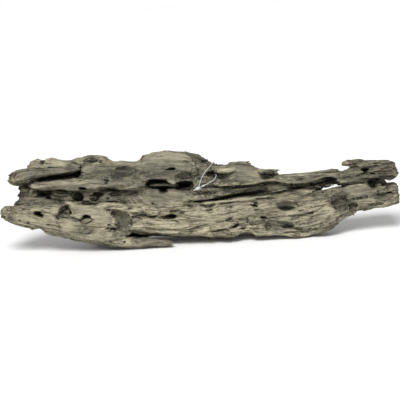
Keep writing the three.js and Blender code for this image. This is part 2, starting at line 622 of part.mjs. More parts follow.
// Hollows, from the left to the right
const hollows = [
  // the slot between the limb and the rail
  pocket(
    [
      [23, 184.6], [30, 181.4], [34, 178.7], [42, 176.6], [52, 176], [62, 175], [72, 173], [80, 170.6],
      [82.6, 174], [82, 177.6], [76, 178.2], [66, 179.2], [55, 180.5], [45, 181.8], [36, 182.9], [29, 186.4],
    ],
    { mouth: -15, floor: 14, sharp: true },
  ),
  // the crevice where the limb goes under the upper body
  pocket(
    [
      [73, 172.6], [78, 170.5], [79.4, 164.4], [81, 163.6], [82, 166], [82, 171], [83.4, 174],
      [82, 177.6], [77, 177],
    ],
    { mouth: -13, floor: 6, sharp: true },
  ),
  // the worn place on top beside it
  bowl([90.5, 160.6, -10], [6.4, 3, 6]),
  // the pit at the rail's left end
  pocket([[20.4, 186], [24, 183.2], [28.6, 184.6], [29, 188], [24, 189]], { mouth: -6, floor: 6 }),
  // the gaps in the left edge
  pocket(
    [
      [11, 196], [16, 195.4], [18.6, 198], [17.4, 202], [13, 203.4], [9, 200],
    ],
    { mouth: -14, floor: 18 },
  ),
  pocket(
    [
      [8, 203.4], [14, 203.8], [20.4, 204.2], [20, 205.6], [13, 206],
    ],
    { mouth: -20, floor: 8, sharp: true },
  ),
  pocket(
    [
      [12, 187.6], [16.4, 187.8], [19.6, 189.8], [19, 193.6], [15, 194.4], [10, 192],
    ],
    { mouth: -8, floor: 16 },
  ),
  // the dark openings under the rail
  pocket(
    [
      [35, 191], [40, 189.8], [46, 190.6], [53, 189.6], [53, 192], [50, 195.6], [51, 199.6],
      [47.4, 200.2], [44, 197.8], [38.6, 196.4],
    ],
    { mouth: -10, floor: 16, rise: 2 },
  ),
  pocket(
    [
      [54, 190], [60, 188.9], [66, 190], [69, 193.6], [65, 195.6], [56, 195],
    ],
    { mouth: -8, floor: 8, rise: 2 },
  ),
  pocket(
    [
      [71, 196.4], [74, 192.8], [79, 192.4], [83.6, 195], [83.4, 199.4], [79, 202.4], [73.6, 200.8],
    ],
    { mouth: -8, floor: 18, rise: 1 },
  ),
  pocket(
    [
      [89.4, 198], [90.6, 193.6], [96, 192.2], [104, 194.4], [101, 197], [98.4, 201], [93, 202.4],
      [90, 201],
    ],
    { mouth: -8, floor: 14, rise: 2 },
  ),
  pocket(
    [
      [107, 194.6], [112, 192.4], [119, 192.6], [122, 195], [117, 197], [110, 197],
    ],
    { mouth: -7, floor: 10, rise: 1 },
  ),
  pocket(
    [
      [76.6, 188.6], [80, 186.8], [85, 187.2], [88, 189.6], [84.6, 190], [79, 189.6],
    ],
    { mouth: -17, floor: 4, sharp: true },
  ),
  // the hole in the lower left log
  pocket(
    [
      [33, 213.6], [36, 211.6], [40.6, 212], [42.6, 214.6], [44.6, 217.6], [41, 217.4], [36, 215.4],
    ],
    { mouth: -20, floor: 2, rise: 2 },
  ),
  // the notch behind the front plate's tip
  pocket(
    [
      [58.4, 219.5], [58.8, 213.5], [61.5, 209.4], [66, 205.6], [68.4, 206.6], [70.4, 210.2],
      [72, 213.4], [69, 214.8], [64, 214.6], [60.4, 219.8],
    ],
    { mouth: -23, floor: -4, rise: 2, drift: 4 },
  ),
  // the hole in the front plate, and the worn places under it
  pocket(
    [
      [81, 221], [82.4, 216.6], [86, 215], [91, 216.6], [94.4, 220.6], [90, 223.4], [86, 225.4],
      [82, 225],
    ],
    { mouth: -24, floor: -6, rise: 5 },
  ),
  bowl([86.5, 230, -31], [9, 6.5, 5], 10),
  // the small hole where the plate meets the pale ridge
  pocket(
    [
      [104, 209.4], [107, 209], [110, 211.2], [107.4, 211.6],
    ],
    { mouth: -23, floor: -12, sharp: true },
  ),
  // the bay at the plate's broken edge
  pocket(
    [
      [110, 214], [114, 211.2], [121, 211.4], [129, 213.6], [131, 219], [130, 227], [126, 232],
      [120, 231], [117, 227], [117.6, 222], [114, 217.6],
    ],
    { mouth: -18, floor: 3, rise: 2, levels: 5 },
  ),
  // the split over the prong
  pocket(
    [
      [124, 238], [130, 234], [133, 232.2], [136.4, 233.6], [139, 235.2], [150, 235], [160, 235.8],
      [174, 237], [174, 240.2], [160, 239.2], [150, 238.2], [140, 238.2], [131, 237.6],
    ],
    { mouth: -20, floor: 22, sharp: true, narrow: 5 },
  ),
  // the long oval bowl of the upper body and the shallow valley that leads to it
  bowl([124, 173.4, -19], [15.6, 8.2, 12], 3),
  bowl([100, 172, -20], [21, 6, 7.4], 2),
  // the large hole in the upper body
  pocket(
    [
      [144.4, 184.4], [147, 180.6], [152, 178.8], [160, 178.8], [166, 180.4], [171, 183.6], [175, 186],
      [174, 189.4], [169, 189.6], [167.6, 192.6], [164, 193.7], [160, 193], [157, 190], [150, 189.2],
      [146, 187.6],
    ],
    { mouth: -15, floor: 16, rise: 3, sharp: true },
  ),
  // the hole beside it and the worn hood over that
  pocket(
    [
      [173, 185.6], [177, 182.4], [184, 181.2], [190, 181.4], [194.4, 183], [193.4, 186.2],
      [190, 188.6], [184, 190], [177, 190.2], [173, 188.6],
    ],
    { mouth: -13, floor: 16, rise: 3 },
  ),
  bowl([185, 179, -19], [11.4, 7.4, 13], 4),
  // the slot over them
  pocket(
    [
      [164.6, 170.4], [169, 167.8], [175, 167.6], [176.4, 169.4], [172, 170.4],
    ],
    { mouth: -15, floor: -1, rise: 1 },
  ),
  // the threaded hole and the cavity behind its rim, open at the top
  pocket(
    [
      [205.4, 173.4], [208, 170.6], [213, 170.2], [217, 172.6], [219.4, 175.2], [216, 176.8],
      [211, 176], [207, 175.4],
    ],
    { mouth: -8, floor: 9, rise: -1, narrow: 5 },
  ),
  bowl([213, 164.6, 7.4], [8.4, 13, 5]),
  // the dark groove between the upper plate and the lower body
  pocket(
    [
      [206, 199.6], [218, 197.2], [230, 194], [244, 191.6], [258, 190.4], [268, 190], [268.6, 193],
      [256, 195], [240, 197.6], [226, 199.2], [212, 201],
    ],
    { mouth: -8, floor: 10, sharp: true },
  ),
  split([[192, 194.6], [204, 193.2], [216, 192.4], [228, 191]], 1.4, { mouth: -13, floor: 0 }),
  pocket(
    [
      [184, 201.6], [200, 199.8], [220, 198.4], [240, 197], [240, 199], [220, 200.8], [200, 202.4],
    ],
    { mouth: -14, floor: 2, sharp: true },
  ),
  pocket(
    [
      [286, 187], [292, 184.8], [304, 183], [314, 181.2], [322, 180.6], [322, 184.2], [310, 185.6],
      [300, 188], [290, 190.4],
    ],
    { mouth: -9, floor: 9, sharp: true },
  ),
  // the recess in the upper plate
  pocket(
    [
      [260.6, 173.2], [268, 172.4], [276, 173], [279, 175], [274, 178.4], [265, 180.4],
      [261.6, 177.6],
    ],
    { mouth: -12, floor: -1, rise: 1 },
  ),
  // the worn arch in the upper arm, and the gap that shows through under it
  pocket(
    [
      [311, 182.6], [320, 179], [328, 176.2], [334, 177.6], [339, 181.4], [341, 184.6], [330, 185.4],
      [318, 185.4],
    ],
    { mouth: -11, floor: 3, rise: 1 },
  ),
  pocket(
    [
      [320.4, 189.6], [320.8, 187.4], [330, 186.2], [342, 184.6], [338, 187.2], [330, 189.4],
    ],
    { mouth: -18, floor: 30, sharp: true, narrow: 6 },
  ),
  // the holes of the right end
  pocket(
    [
      [360.4, 168.4], [364, 167.8], [370, 168.4], [367, 171.6], [362.4, 172.4],
    ],
    { mouth: -11, floor: 4, drift: 3 },
  ),
  pocket(
    [
      [366.8, 182.4], [369, 178.8], [376, 178], [383, 178.6], [388, 180.4], [381, 181], [377, 184],
      [377.6, 188.6], [371.4, 189], [369.4, 186],
    ],
    { mouth: -14, floor: 4, rise: 2 },
  ),
  pocket(
    [
      [377, 195.6], [384, 193.4], [392, 190.8], [393, 195], [388, 200.4], [379, 200.4],
    ],
    { mouth: -14, floor: -2, rise: 1 },
  ),
  pocket(
    [
      [386, 181.6], [392, 180.2], [404, 180], [404, 183], [394, 182.6], [388, 183.2],
    ],
    { mouth: -14, floor: 16, sharp: true, narrow: 6 },
  ),
  split([[346, 199.6], [356, 198.6], [366, 197], [378, 194.8]], 1.6, { mouth: -16, floor: -7 }),
  // the worn bowls of the lower right
  bowl([339.5, 201.4, -20.5], [9.2, 10.6, 9], 25),
  bowl([353, 207.6, -18.6], [4.4, 3.6, 6]),
  pocket(
    [
      [276.6, 206], [280, 202.4], [288, 201.4], [295, 203.4], [297.4, 206.4], [290, 208.6],
      [284.6, 210.6], [279, 208.6],
    ],
    { mouth: -18.5, floor: -5, rise: 2 },
  ),
  pocket(
    [
      [275, 224.6], [279, 221.8], [286, 221.8], [292, 223.6], [294.6, 226.6], [289, 228.2],
      [280, 227.6],
    ],
    { mouth: -19, floor: -7, rise: 2 },
  ),
  bowl([269, 226, -22], [5, 5, 6]),
  // small holes and splits of the lower body
  pocket(
    [
      [160, 217], [166, 214.4], [172, 213.6], [176, 216], [175, 218.6], [170, 219.4], [164, 219.4],
    ],
    { mouth: -19, floor: -4, drift: 5 },
  ),
  pocket(
    [
      [259.8, 217], [262.4, 215.8], [266.4, 218.4], [262.6, 218.8],
    ],
    { mouth: -20, floor: -8, sharp: true },
  ),
  pocket(
    [
      [240.6, 229.4], [242.6, 227.4], [245.4, 226.8], [243, 229.8],
    ],
    { mouth: -20, floor: -10, sharp: true },
  ),
  split([[226, 220.6], [229, 218.8], [231.6, 217.8], [234, 216]], 2, { mouth: -20, floor: -8 }),
  split([[230, 227.6], [235, 226.2], [238.6, 224.6], [240, 222.8]], 2.6, { mouth: -20, floor: -8 }),
  split([[249.6, 203.8], [253, 204.6], [256.4, 205.6], [258, 207.4]], 2, { mouth: -17, floor: -5 }),
  split([[207, 231.6], [214, 231.6], [219, 230.6], [224, 229.4]], 1.8, { mouth: -20, floor: -10 }),
  split([[139, 228.6], [148, 229.2], [156, 230], [165, 231.2]], 1.3, { mouth: -18, floor: -9 }),
  split([[168, 212.4], [173, 211.6], [178, 211.4], [182, 211]], 1.6, { mouth: -19, floor: -9 }),
  split([[108, 228.6], [112, 228.6], [118, 228.8]], 1.6, { mouth: -24, floor: -12 }),
  split([[181, 205.6], [190, 206.6], [199, 205.8], [204, 204.6]], 1.6, { mouth: -18, floor: -9 }),
  split([[206, 209.6], [212, 209.2], [218, 208]], 1.6, { mouth: -19, floor: -11 }),
  split([[300, 196.6], [312, 195.2], [326, 193.6]], 1.4, { mouth: -15, floor: -7 }),
  split([[299, 216], [312, 213.4], [324, 210]], 1.5, { mouth: -19, floor: -11 }),
  split([[296, 223], [308, 221], [320, 217.6]], 1.4, { mouth: -20, floor: -12 }),
  // splits of the upper parts
  split([[364, 166.4], [374, 166], [386, 166.6], [393, 167.4]], 1.2, { mouth: -10, floor: -3 }),
  split([[352, 175], [362, 174], [374, 173.4], [388, 174.6]], 1.4, { mouth: -12, floor: -4 }),
  split([[283, 176.6], [296, 175.6], [310, 174.6], [324, 173.4]], 1.2, { mouth: -8, floor: -1 }),
  split([[288, 180], [300, 179.4], [312, 178.4]], 1.4, { mouth: -9, floor: -2 }),
  split([[148, 160.4], [160, 158.6], [174, 158]], 1.4, { mouth: -10, floor: -2 }),
  split([[116, 164.2], [130, 163.4], [140, 161.6]], 1.3, { mouth: -8, floor: 0 }),
  split([[40, 186.6], [52, 185.6], [64, 184.4]], 1.1, { mouth: -17, floor: -10 }),
  // splits of the lower left log
  split([[14, 210.6], [24, 209.4], [34, 209.8]], 1.4, { mouth: -19, floor: -10 }),
  split([[40, 222], [50, 224.6], [60, 226]], 1.4, { mouth: -25, floor: -16 }),
];

// Wood that is left standing inside the large hole
const bars = [
  strand(
    [
      [146, 184.4, 187, -4, 3], [156, 183.6, 187, -7, 2], [168, 183.6, 187, -8, 2],
      [178, 184, 187.4, -5, 4],
    ],
    { sides: 10 },
  ),
];

// Hollows of the unseen back
const backHollows = [
  bowl([60, 204, 27], [18, 7, 9], -8),
  bowl([96, 192, 38], [14, 5, 10], 4),
  bowl([142, 210, 38], [26, 7, 14], 2),
  bowl([214, 211, 40], [20, 5, 16], 4),
  bowl([268, 208, 31], [18, 6, 12], 10),
  bowl([318, 202, 20], [14, 5, 9], 12),
  bowl([182, 196, 42], [9, 6, 12], -10),
  bowl([360, 190, 14], [14, 4, 7], 6),
  pocket(
    [
      [118, 226], [126, 222], [136, 224], [140, 229], [130, 232], [121, 231],
    ],
    { mouth: 32, floor: 12, rise: 3 },
  ),
  pocket(
    [
      [232, 224], [241, 220], [250, 222], [254, 227], [244, 230], [235, 229],
    ],
    { mouth: 36, floor: 14, rise: 3 },
  ),
  pocket(
    [
      [76, 212], [82, 208], [92, 209], [96, 214], [88, 218], [79, 217],
    ],
    { mouth: 28, floor: 8, rise: 2 },
  ),
  pocket(
    [
      [148, 166], [158, 162], [172, 163], [178, 168], [166, 172], [152, 171],
    ],
    { mouth: 32, floor: 16, rise: -2 },
  ),
  split([[92, 176], [112, 173], [134, 172], [150, 174]], 2, { mouth: 30, floor: 18 }),
  split([[160, 222], [184, 220], [206, 220], [226, 222]], 2, { mouth: 38, floor: 26 }),
  split([[246, 202], [262, 199], [280, 197], [300, 197]], 2, { mouth: 28, floor: 16 }),
  split([[36, 214], [52, 218], [70, 222], [88, 224]], 2, { mouth: 24, floor: 12 }),
  split([[318, 214], [332, 209], [348, 205]], 1.8, { mouth: 16, floor: 6 }),
];

// The largest body of a solid: loose scraps are dropped and sealed hollows are filled.
function largestBody(solid) {
  return solid.decompose().reduce((best, body) => (body.volume() > best.volume() ? body : best));
}

// The sum of a point's squared distances to the planes that a quadric gathers.
function planeError(quadric, { x, y, z }) {
  const point = [x, y, z, 1];
  let sum = 0;
  for (let i = 0; i < 4; i++) {
    for (let j = 0; j < 4; j++) sum += quadric[4 * i + j] * point[i] * point[j];
  }
  return sum;
}

// The same form with fewer facets: edges are closed up, those that change the form least first.
function thinOut(geometry, facets) {
  const { position } = geometry.attributes;
  const corners = geometry.index.array;
  const pointAt = (_, i) => new THREE.Vector3().fromBufferAttribute(position, i);
  const points = Array.from({ length: position.count }, pointAt);
  const faceAt = (_, f) => [...corners.slice(3 * f, 3 * f + 3)];
  const faces = Array.from({ length: corners.length / 3 }, faceAt);
  const fans = points.map(() => new Set());
  const quadrics = points.map(() => new Float64Array(16));
  const triangle = new THREE.Triangle();
  const normalOf = (face) => triangle.set(...face.map((v) => points[v])).getNormal(new THREE.Vector3());
  faces.forEach((face, f) => {
    const normal = normalOf(face);
    const plane = [normal.x, normal.y, normal.z, -normal.dot(points[face[0]])];
    const area = triangle.getArea();
    for (const v of face) {
      fans[v].add(f);
      for (let i = 0; i < 16; i++) quadrics[v][i] += area * plane[i >> 2] * plane[i & 3];
    }
  });
  const neighbours = (v) => new Set([...fans[v]].flatMap((f) => faces[f]).filter((w) => w !== v));
  const mayClose = (gone, kept) => {
    const ring = neighbours(kept);
    if ([...neighbours(gone)].filter((v) => ring.has(v)).length !== 2) return false;
    return [...fans[gone]].every((f) => {
      if (faces[f].includes(kept)) return true;
      const before = normalOf(faces[f]);
      const after = normalOf(faces[f].map((v) => (v === gone ? kept : v)));
      return before.dot(after) > LEAST_TURN && triangle.getArea() > LEAST_FACET;
    });
  };
  let left = faces.length;
  for (let pass = 0; left > facets && pass < MOST_PASSES; pass++) {
    const edges = [];
    faces.forEach((face) => {
      if (!face) return;
      face.forEach((a, i) => {
        const b = face[(i + 1) % 3];
        const joint = quadrics[a].map((q, k) => q + quadrics[b][k]);
        edges.push({ gone: a, kept: b, joint, error: planeError(joint, points[b]) });
      });
    });
    edges.sort((p, q) => p.error - q.error);
    const touched = new Set();
    for (const { gone, kept, joint } of edges.slice(0, Math.ceil(edges.length * SHARE_OF_EDGES))) {
      if (left <= facets) break;
      if (touched.has(gone) || touched.has(kept) || !mayClose(gone, kept)) continue;
      for (const v of [gone, kept, ...neighbours(gone)]) touched.add(v);
      quadrics[kept] = joint;
      for (const f of fans[gone]) {
        if (faces[f].includes(kept)) {
          for (const v of faces[f]) if (v !== gone) fans[v].delete(f);
          faces[f] = null;
          left -= 1;
        } else {
          faces[f] = faces[f].map((v) => (v === gone ? kept : v));
          fans[kept].add(f);
        }
      }
      fans[gone].clear();
    }
  }
  const thinned = new THREE.BufferGeometry().setFromPoints(points);
  thinned.setIndex(faces.filter(Boolean).flat());
  return thinned;
}

// What lies under the surface that the wood rests on, once its low points are worn flat.
function ground(solid) {
  const top = solid.boundingBox().min[2] + SETTLE;
  const box = new THREE.BoxGeometry(2 * LENGTH, 2 * LENGTH, LENGTH);
  box.translate(0, 0, top - LENGTH / 2);
  return solidOf(box);
}

const { Manifold } = wasm;
const carved = Manifold.union([...strands, ...splinters])
  .subtract(Manifold.union([...hollows, ...backHollows]))
  .add(Manifold.union(bars));
const settled = largestBody(carved.subtract(ground(carved)));
const form = thinOut(geometryOf(settled), FACETS);
form.computeVertexNormals();

// The nylon loop: out of its lock head, up over the rim, down behind it, out through the threaded
// hole and back into the head.
const loopRoute = [
  [198, 188.2, -13.5],
  [199.4, 185, -13.2],
  [200.8, 180, -12.8],
  [203, 175, -12.2],
  [206.6, 170, -9.8],
  [210.2, 166, -5.4],
  [212.4, 162.9, -0.8],
  [213.8, 162, 2.1],
  [215.3, 164.5, 5.1],
  [215.2, 169, 6.4],
  [214.4, 171.8, 5.8],
  [214.8, 173.8, 2.4],
  [215.6, 174.2, -3],
  [216.2, 175, -9.6],
  [215.2, 178.2, -12.8],
  [212.4, 180.9, -12.9],
  [208, 183.4, -12.2],
  [204, 185.4, -12.2],
  [199.6, 187.6, -13.2],
];
const filament = new THREE.Shape().absarc(0, 0, FILAMENT / 2, 0, 2 * Math.PI);
const strandOfLoop = new THREE.ExtrudeGeometry(filament, {
  curveSegments: LOOP_SIDES / 2,
  steps: LOOP_STEPS,
  extrudePath: new THREE.CatmullRomCurve3(loopRoute.map((p) => place(...p))),
});
const loopSolid = Manifold.union([
  solidOf(strandOfLoop),
  bowl([197.7, 188.5, -13.8], [3, 1.7, 1.1], 22),
  bowl([194.5, 190.1, -14.3], [1.5, 0.6, 0.6], 30),
  bowl([203.4, 185.7, -12.4], [2.2, 0.85, 0.85], 26),
]);
const loop = new THREE.Mesh(
  geometryOf(loopSolid),
  new THREE.MeshStandardMaterial({ color: 0xeceff0, roughness: 0.35, metalness: 0 }),
);
loop.name = "tag_loop";

const driftwood = new THREE.Mesh(
  form,
  new THREE.MeshStandardMaterial({ color: 0x8d8672, roughness: 0.95, metalness: 0 }),
);
driftwood.name = "driftwood";

// The origin is under the middle of the wood, on the surface that it rests on.
const { min, max } = settled.boundingBox();
const part = new THREE.Group();
part.add(driftwood, loop);
part.position.set(-(min[0] + max[0]) / 2, -(min[1] + max[1]) / 2, -min[2]);

const root = new THREE.Group();
root.add(part);
export default root;
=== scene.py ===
"""A weathered piece of driftwood, with a nylon loop threaded through its top rim, on a pale floor.

The wood is worked on the same squared drawing as its solid: columns run along the grain from the left
tip, rows run down the sheet, and depth runs back from the sheet's plane. One square is 1.5 mm.
"""

import itertools
import logging
import math
from collections.abc import Callable
from dataclasses import dataclass
from enum import Enum

import bmesh
import bpy
import numpy as np
from mathutils import Matrix, Vector
from mathutils.bvhtree import BVHTree


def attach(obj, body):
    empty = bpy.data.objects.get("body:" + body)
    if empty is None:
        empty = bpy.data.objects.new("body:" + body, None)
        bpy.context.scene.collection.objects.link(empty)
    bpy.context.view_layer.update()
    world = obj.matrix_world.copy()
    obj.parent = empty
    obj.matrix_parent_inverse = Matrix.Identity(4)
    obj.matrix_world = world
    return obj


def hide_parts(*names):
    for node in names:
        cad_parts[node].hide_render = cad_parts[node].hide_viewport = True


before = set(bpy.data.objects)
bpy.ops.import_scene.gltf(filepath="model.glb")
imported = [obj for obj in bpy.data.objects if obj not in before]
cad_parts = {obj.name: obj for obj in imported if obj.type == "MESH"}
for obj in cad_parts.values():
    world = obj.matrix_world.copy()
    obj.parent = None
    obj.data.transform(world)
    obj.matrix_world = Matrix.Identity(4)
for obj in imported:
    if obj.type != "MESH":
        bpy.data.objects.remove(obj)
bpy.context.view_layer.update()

BODY = "root"
Colour = tuple[float, float, float]
Place = tuple[float, float, float]
Pair = tuple[float, float]
Outline = tuple[Pair, ...]
Profile = Callable[[np.ndarray, np.ndarray], np.ndarray]
log = logging.getLogger("driftwood")


def linear(red: int, green: int, blue: int) -> Colour:
    """Gives a colour of 0 to 255 steps as the linear values that shaders use."""
    return tuple((step / 255) ** 2.2 for step in (red, green, blue))


def ramp(values: np.ndarray, low: float, high: float) -> np.ndarray:
    """Eases values from 0 at low to 1 at high.

    Args:
        values: any numbers.
        low: what gives 0.
        high: what gives 1, and may be less than low.

    Returns:
        The eased numbers, from 0 to 1.
    """
    share = np.clip((values - low) / (high - low), 0, 1)
    return share * share * (3 - 2 * share)


def bell(values: np.ndarray, width: np.ndarray | float) -> np.ndarray:
    """Falls smoothly from 1 where values are 0, and nearly to 0 at twice the width."""
    return np.exp(-((values / width) ** 2))


def placed(name: str, data: bpy.types.ID) -> bpy.types.Object:
    """Puts a new object in the scene.

    Args:
        name: the object's name.
        data: its mesh, light or camera.

    Returns:
        The object.
    """
    thing = bpy.data.objects.new(name, data)
    bpy.context.scene.collection.objects.link(thing)
    return thing


def evaluated(thing: bpy.types.Object) -> bpy.types.Mesh:
    """Gives the mesh that an object's modifiers make, and takes the object away.

    Args:
        thing: a mesh object in the scene.

    Returns:
        The mesh.
    """
    shown = thing.evaluated_get(bpy.context.evaluated_depsgraph_get())
    mesh = bpy.data.meshes.new_from_object(shown)
    bpy.data.objects.remove(thing)
    return mesh


def voxelled(shaped: bmesh.types.BMesh, voxel: float) -> bpy.types.Mesh:
    """Makes one closed skin of small even faces.

    Args:
        shaped: closed forms that may overlap, which are freed.
        voxel: the size of the faces.

    Returns:
        The skin.
    """
    mesh = bpy.data.meshes.new("mould")
    shaped.to_mesh(mesh)
    shaped.free()
    mould = placed("mould", mesh)
    remesh = mould.modifiers.new("even", "REMESH")
    remesh.mode = "VOXEL"
    remesh.voxel_size = voxel
    remesh.use_smooth_shade = True
    return evaluated(mould)


class Blend(Enum):
    """How one colour is laid over another."""

    COVER = "MIX"
    SHADE = "MULTIPLY"


@dataclass(frozen=True)
class Drawing:
    """The squared drawing, and how it stands in the frame of the part."""

    square: float = 0.0015
    lean_deg: float = 11.8
    slant_deg: float = 3.5
    middle_column: float = 200
    base_row: float = 248
    origin: Place = (-0.004135, -0.021991, -0.008505)

    def axes(self) -> np.ndarray:
        """Gives the directions along the columns, up the rows and towards the viewer, as rows."""
        lean, slant = math.radians(self.lean_deg), math.radians(self.slant_deg)
        along = (math.cos(slant), -math.sin(slant) * math.sin(lean), -math.sin(slant) * math.cos(lean))
        over = (math.sin(slant), math.cos(slant) * math.sin(lean), math.cos(slant) * math.cos(lean))
        toward = (0, -math.cos(lean), math.sin(lean))
        return np.array([along, over, toward])

    def to_metres(self, squares: np.ndarray) -> np.ndarray:
        """Places points of the drawing in the frame of the part.

        Args:
            squares: rows of column, row and depth.

        Returns:
            Rows of x, y and z in metres.
        """
        steps = np.asarray(squares, float) - (self.middle_column, self.base_row, 0)
        return (steps * (1, -1, -1) * self.square) @ self.axes() + self.origin

    def to_squares(self, points: np.ndarray) -> np.ndarray:
        """Finds points of the part on the drawing.

        Args:
            points: rows of x, y and z in metres.

        Returns:
            Rows of column, row and depth.
        """
        steps = (np.asarray(points, float) - self.origin) @ self.axes().T / self.square
        return steps * (1, -1, -1) + (self.middle_column, self.base_row, 0)


class GradientNoise:
    """Smooth seeded noise in three directions, for many points at once."""

    CELLS = 256

    def __init__(self, seed: int) -> None:
        """Draws the order of the cells and the slope in each.

        Args:
            seed: what the draws start from.
        """
        draw = np.random.default_rng(seed)
        self.order = draw.permutation(self.CELLS)
        slopes = draw.normal(size=(self.CELLS, 3))
        self.slopes = slopes / np.linalg.norm(slopes, axis=1, keepdims=True)

    def at(self, points: np.ndarray) -> np.ndarray:
        """Reads the noise.

        Args:
            points: rows of three coordinates.

        Returns:
            A number for each point, mostly from -0.6 to 0.6.
        """
        cells = np.floor(points).astype(int)
        inside = points - cells
        fade = inside**3 * (inside * (inside * 6 - 15) + 10)
        total = np.zeros(len(points))
        for corner in itertools.product((0, 1), repeat=3):
            key = np.zeros(len(points), int)
            for axis in range(3):
                key = self.order[(key + cells[:, axis] + corner[axis]) % self.CELLS]
            rise = ((inside - corner) * self.slopes[key]).sum(axis=1)
            total += np.where(corner, fade, 1 - fade).prod(axis=1) * rise
        return total


@dataclass(frozen=True)
class Layer:
    """A layer of noise: how long and wide its marks are, where it starts, and when it is off and on."""

    length: float
    width: float
    start: float = 0
    off: float = 0
    on: float = 1

    def at(self, noise: GradientNoise, points: np.ndarray) -> np.ndarray:
        """Reads the layer at rows of three coordinates."""
        return noise.at(points / (self.length, self.width, self.width) + self.start)

    def where(self, noise: GradientNoise, points: np.ndarray) -> np.ndarray:
        """Gives how far the layer is on at rows of three coordinates, from 0 to 1."""
        return ramp(self.at(noise, points), self.off, self.on)


class Splinters:
    """Seeded cells, each with a height and a tilt of its own, like the layers that wood splits into."""

    CELLS = 512
    MIDDLES = (0.1, 0.9)
    TILT = 0.7
    FAR = 9.0

    def __init__(self, seed: int) -> None:
        """Draws the order of the cells, and the middle, the height and the tilt of each.

        Args:
            seed: what the draws start from.
        """
        draw = np.random.default_rng(seed)
        self.order = draw.permutation(self.CELLS)
        self.middles = draw.uniform(*self.MIDDLES, (self.CELLS, 3))
        self.heights = draw.uniform(-1, 1, self.CELLS)
        self.tilts = draw.normal(scale=self.TILT, size=(self.CELLS, 3))

    def at(self, points: np.ndarray) -> tuple[np.ndarray, np.ndarray]:
        """Reads the cells.

        Args:
            points: rows of three coordinates, where a cell is about 1 across.

        Returns:
            The height at each point, about -1 to 1, and how far it is from the seam of its cell.
        """
        cells = np.floor(points).astype(int)
        inside = points - cells
        nearest = np.full(len(points), self.FAR)
        second = np.full(len(points), self.FAR)
        heights = np.zeros(len(points))
        for corner in itertools.product((-1, 0, 1), repeat=3):
            key = np.zeros(len(points), int)
            for axis in range(3):
                key = self.order[(key + cells[:, axis] + corner[axis]) % self.CELLS]
            ways = self.middles[key] + corner - inside
            gaps = np.linalg.norm(ways, axis=1)
            closer = gaps < nearest
            second = np.where(closer, nearest, np.minimum(second, gaps))
            heights = np.where(closer, self.heights[key] + (ways * self.tilts[key]).sum(axis=1), heights)
            nearest = np.minimum(nearest, gaps)
        return heights, second - nearest


@dataclass(frozen=True)
class Grain:
    """The run of the grain, by lines that follow it from the wood's upper edge to its lower edge."""

    lines: tuple[Outline, ...] = (
        ((0, 176), (30, 160), (80, 156), (150, 153), (210, 160), (260, 168), (340, 169), (400, 160)),
        ((0, 190), (30, 184), (80, 179), (150, 176), (240, 175), (280, 176), (320, 174), (400, 167)),
        ((0, 200), (60, 195), (140, 192), (184, 202), (240, 196), (300, 184), (360, 177), (400, 174)),
        ((0, 207), (70, 206), (130, 205), (160, 210), (210, 206), (279, 194), (340, 189), (400, 183)),
        ((0, 212), (60, 221), (100, 224), (140, 218), (212, 218), (280, 211), (340, 199), (400, 191)),
        ((0, 216), (60, 230), (100, 237), (139, 228), (185, 229), (240, 222), (310, 216), (400, 200)),
        ((0, 220), (60, 238), (130, 249), (200, 239), (300, 238), (330, 231), (345, 219), (400, 207)),
    )
    spacing: float = 14
    wander: float = 1.6
    swirl: float = 1.1
    wandering: Layer = Layer(60, 15)
    swirling: Layer = Layer(20, 6)
    inner: Layer = Layer(60, 15, 40)

    def coordinates(self, squares: np.ndarray, noise: GradientNoise) -> np.ndarray:
        """Finds where points lie along and across the grain.

        Args:
            squares: rows of column, row and depth.
            noise: what makes the grain wander.

        Returns:
            Rows of the place along the grain, and of two places across it, in squares.
        """
        column, row, depth = squares.T
        rows = [np.interp(column, *np.transpose(line)) for line in self.lines]
        across = np.minimum(row - rows[0], 0) + np.maximum(row - rows[-1], 0)
        for upper, lower in zip(rows, rows[1:]):
            across += self.spacing * np.clip((row - upper) / (lower - upper), 0, 1)
        straight = np.stack([column, across, depth], axis=1)
        across = across + self.wander * self.wandering.at(noise, straight)
        across += self.swirl * self.swirling.at(noise, straight)
        inward = depth + self.wander * self.inner.at(noise, straight)
        return np.stack([column, across, inward], axis=1)


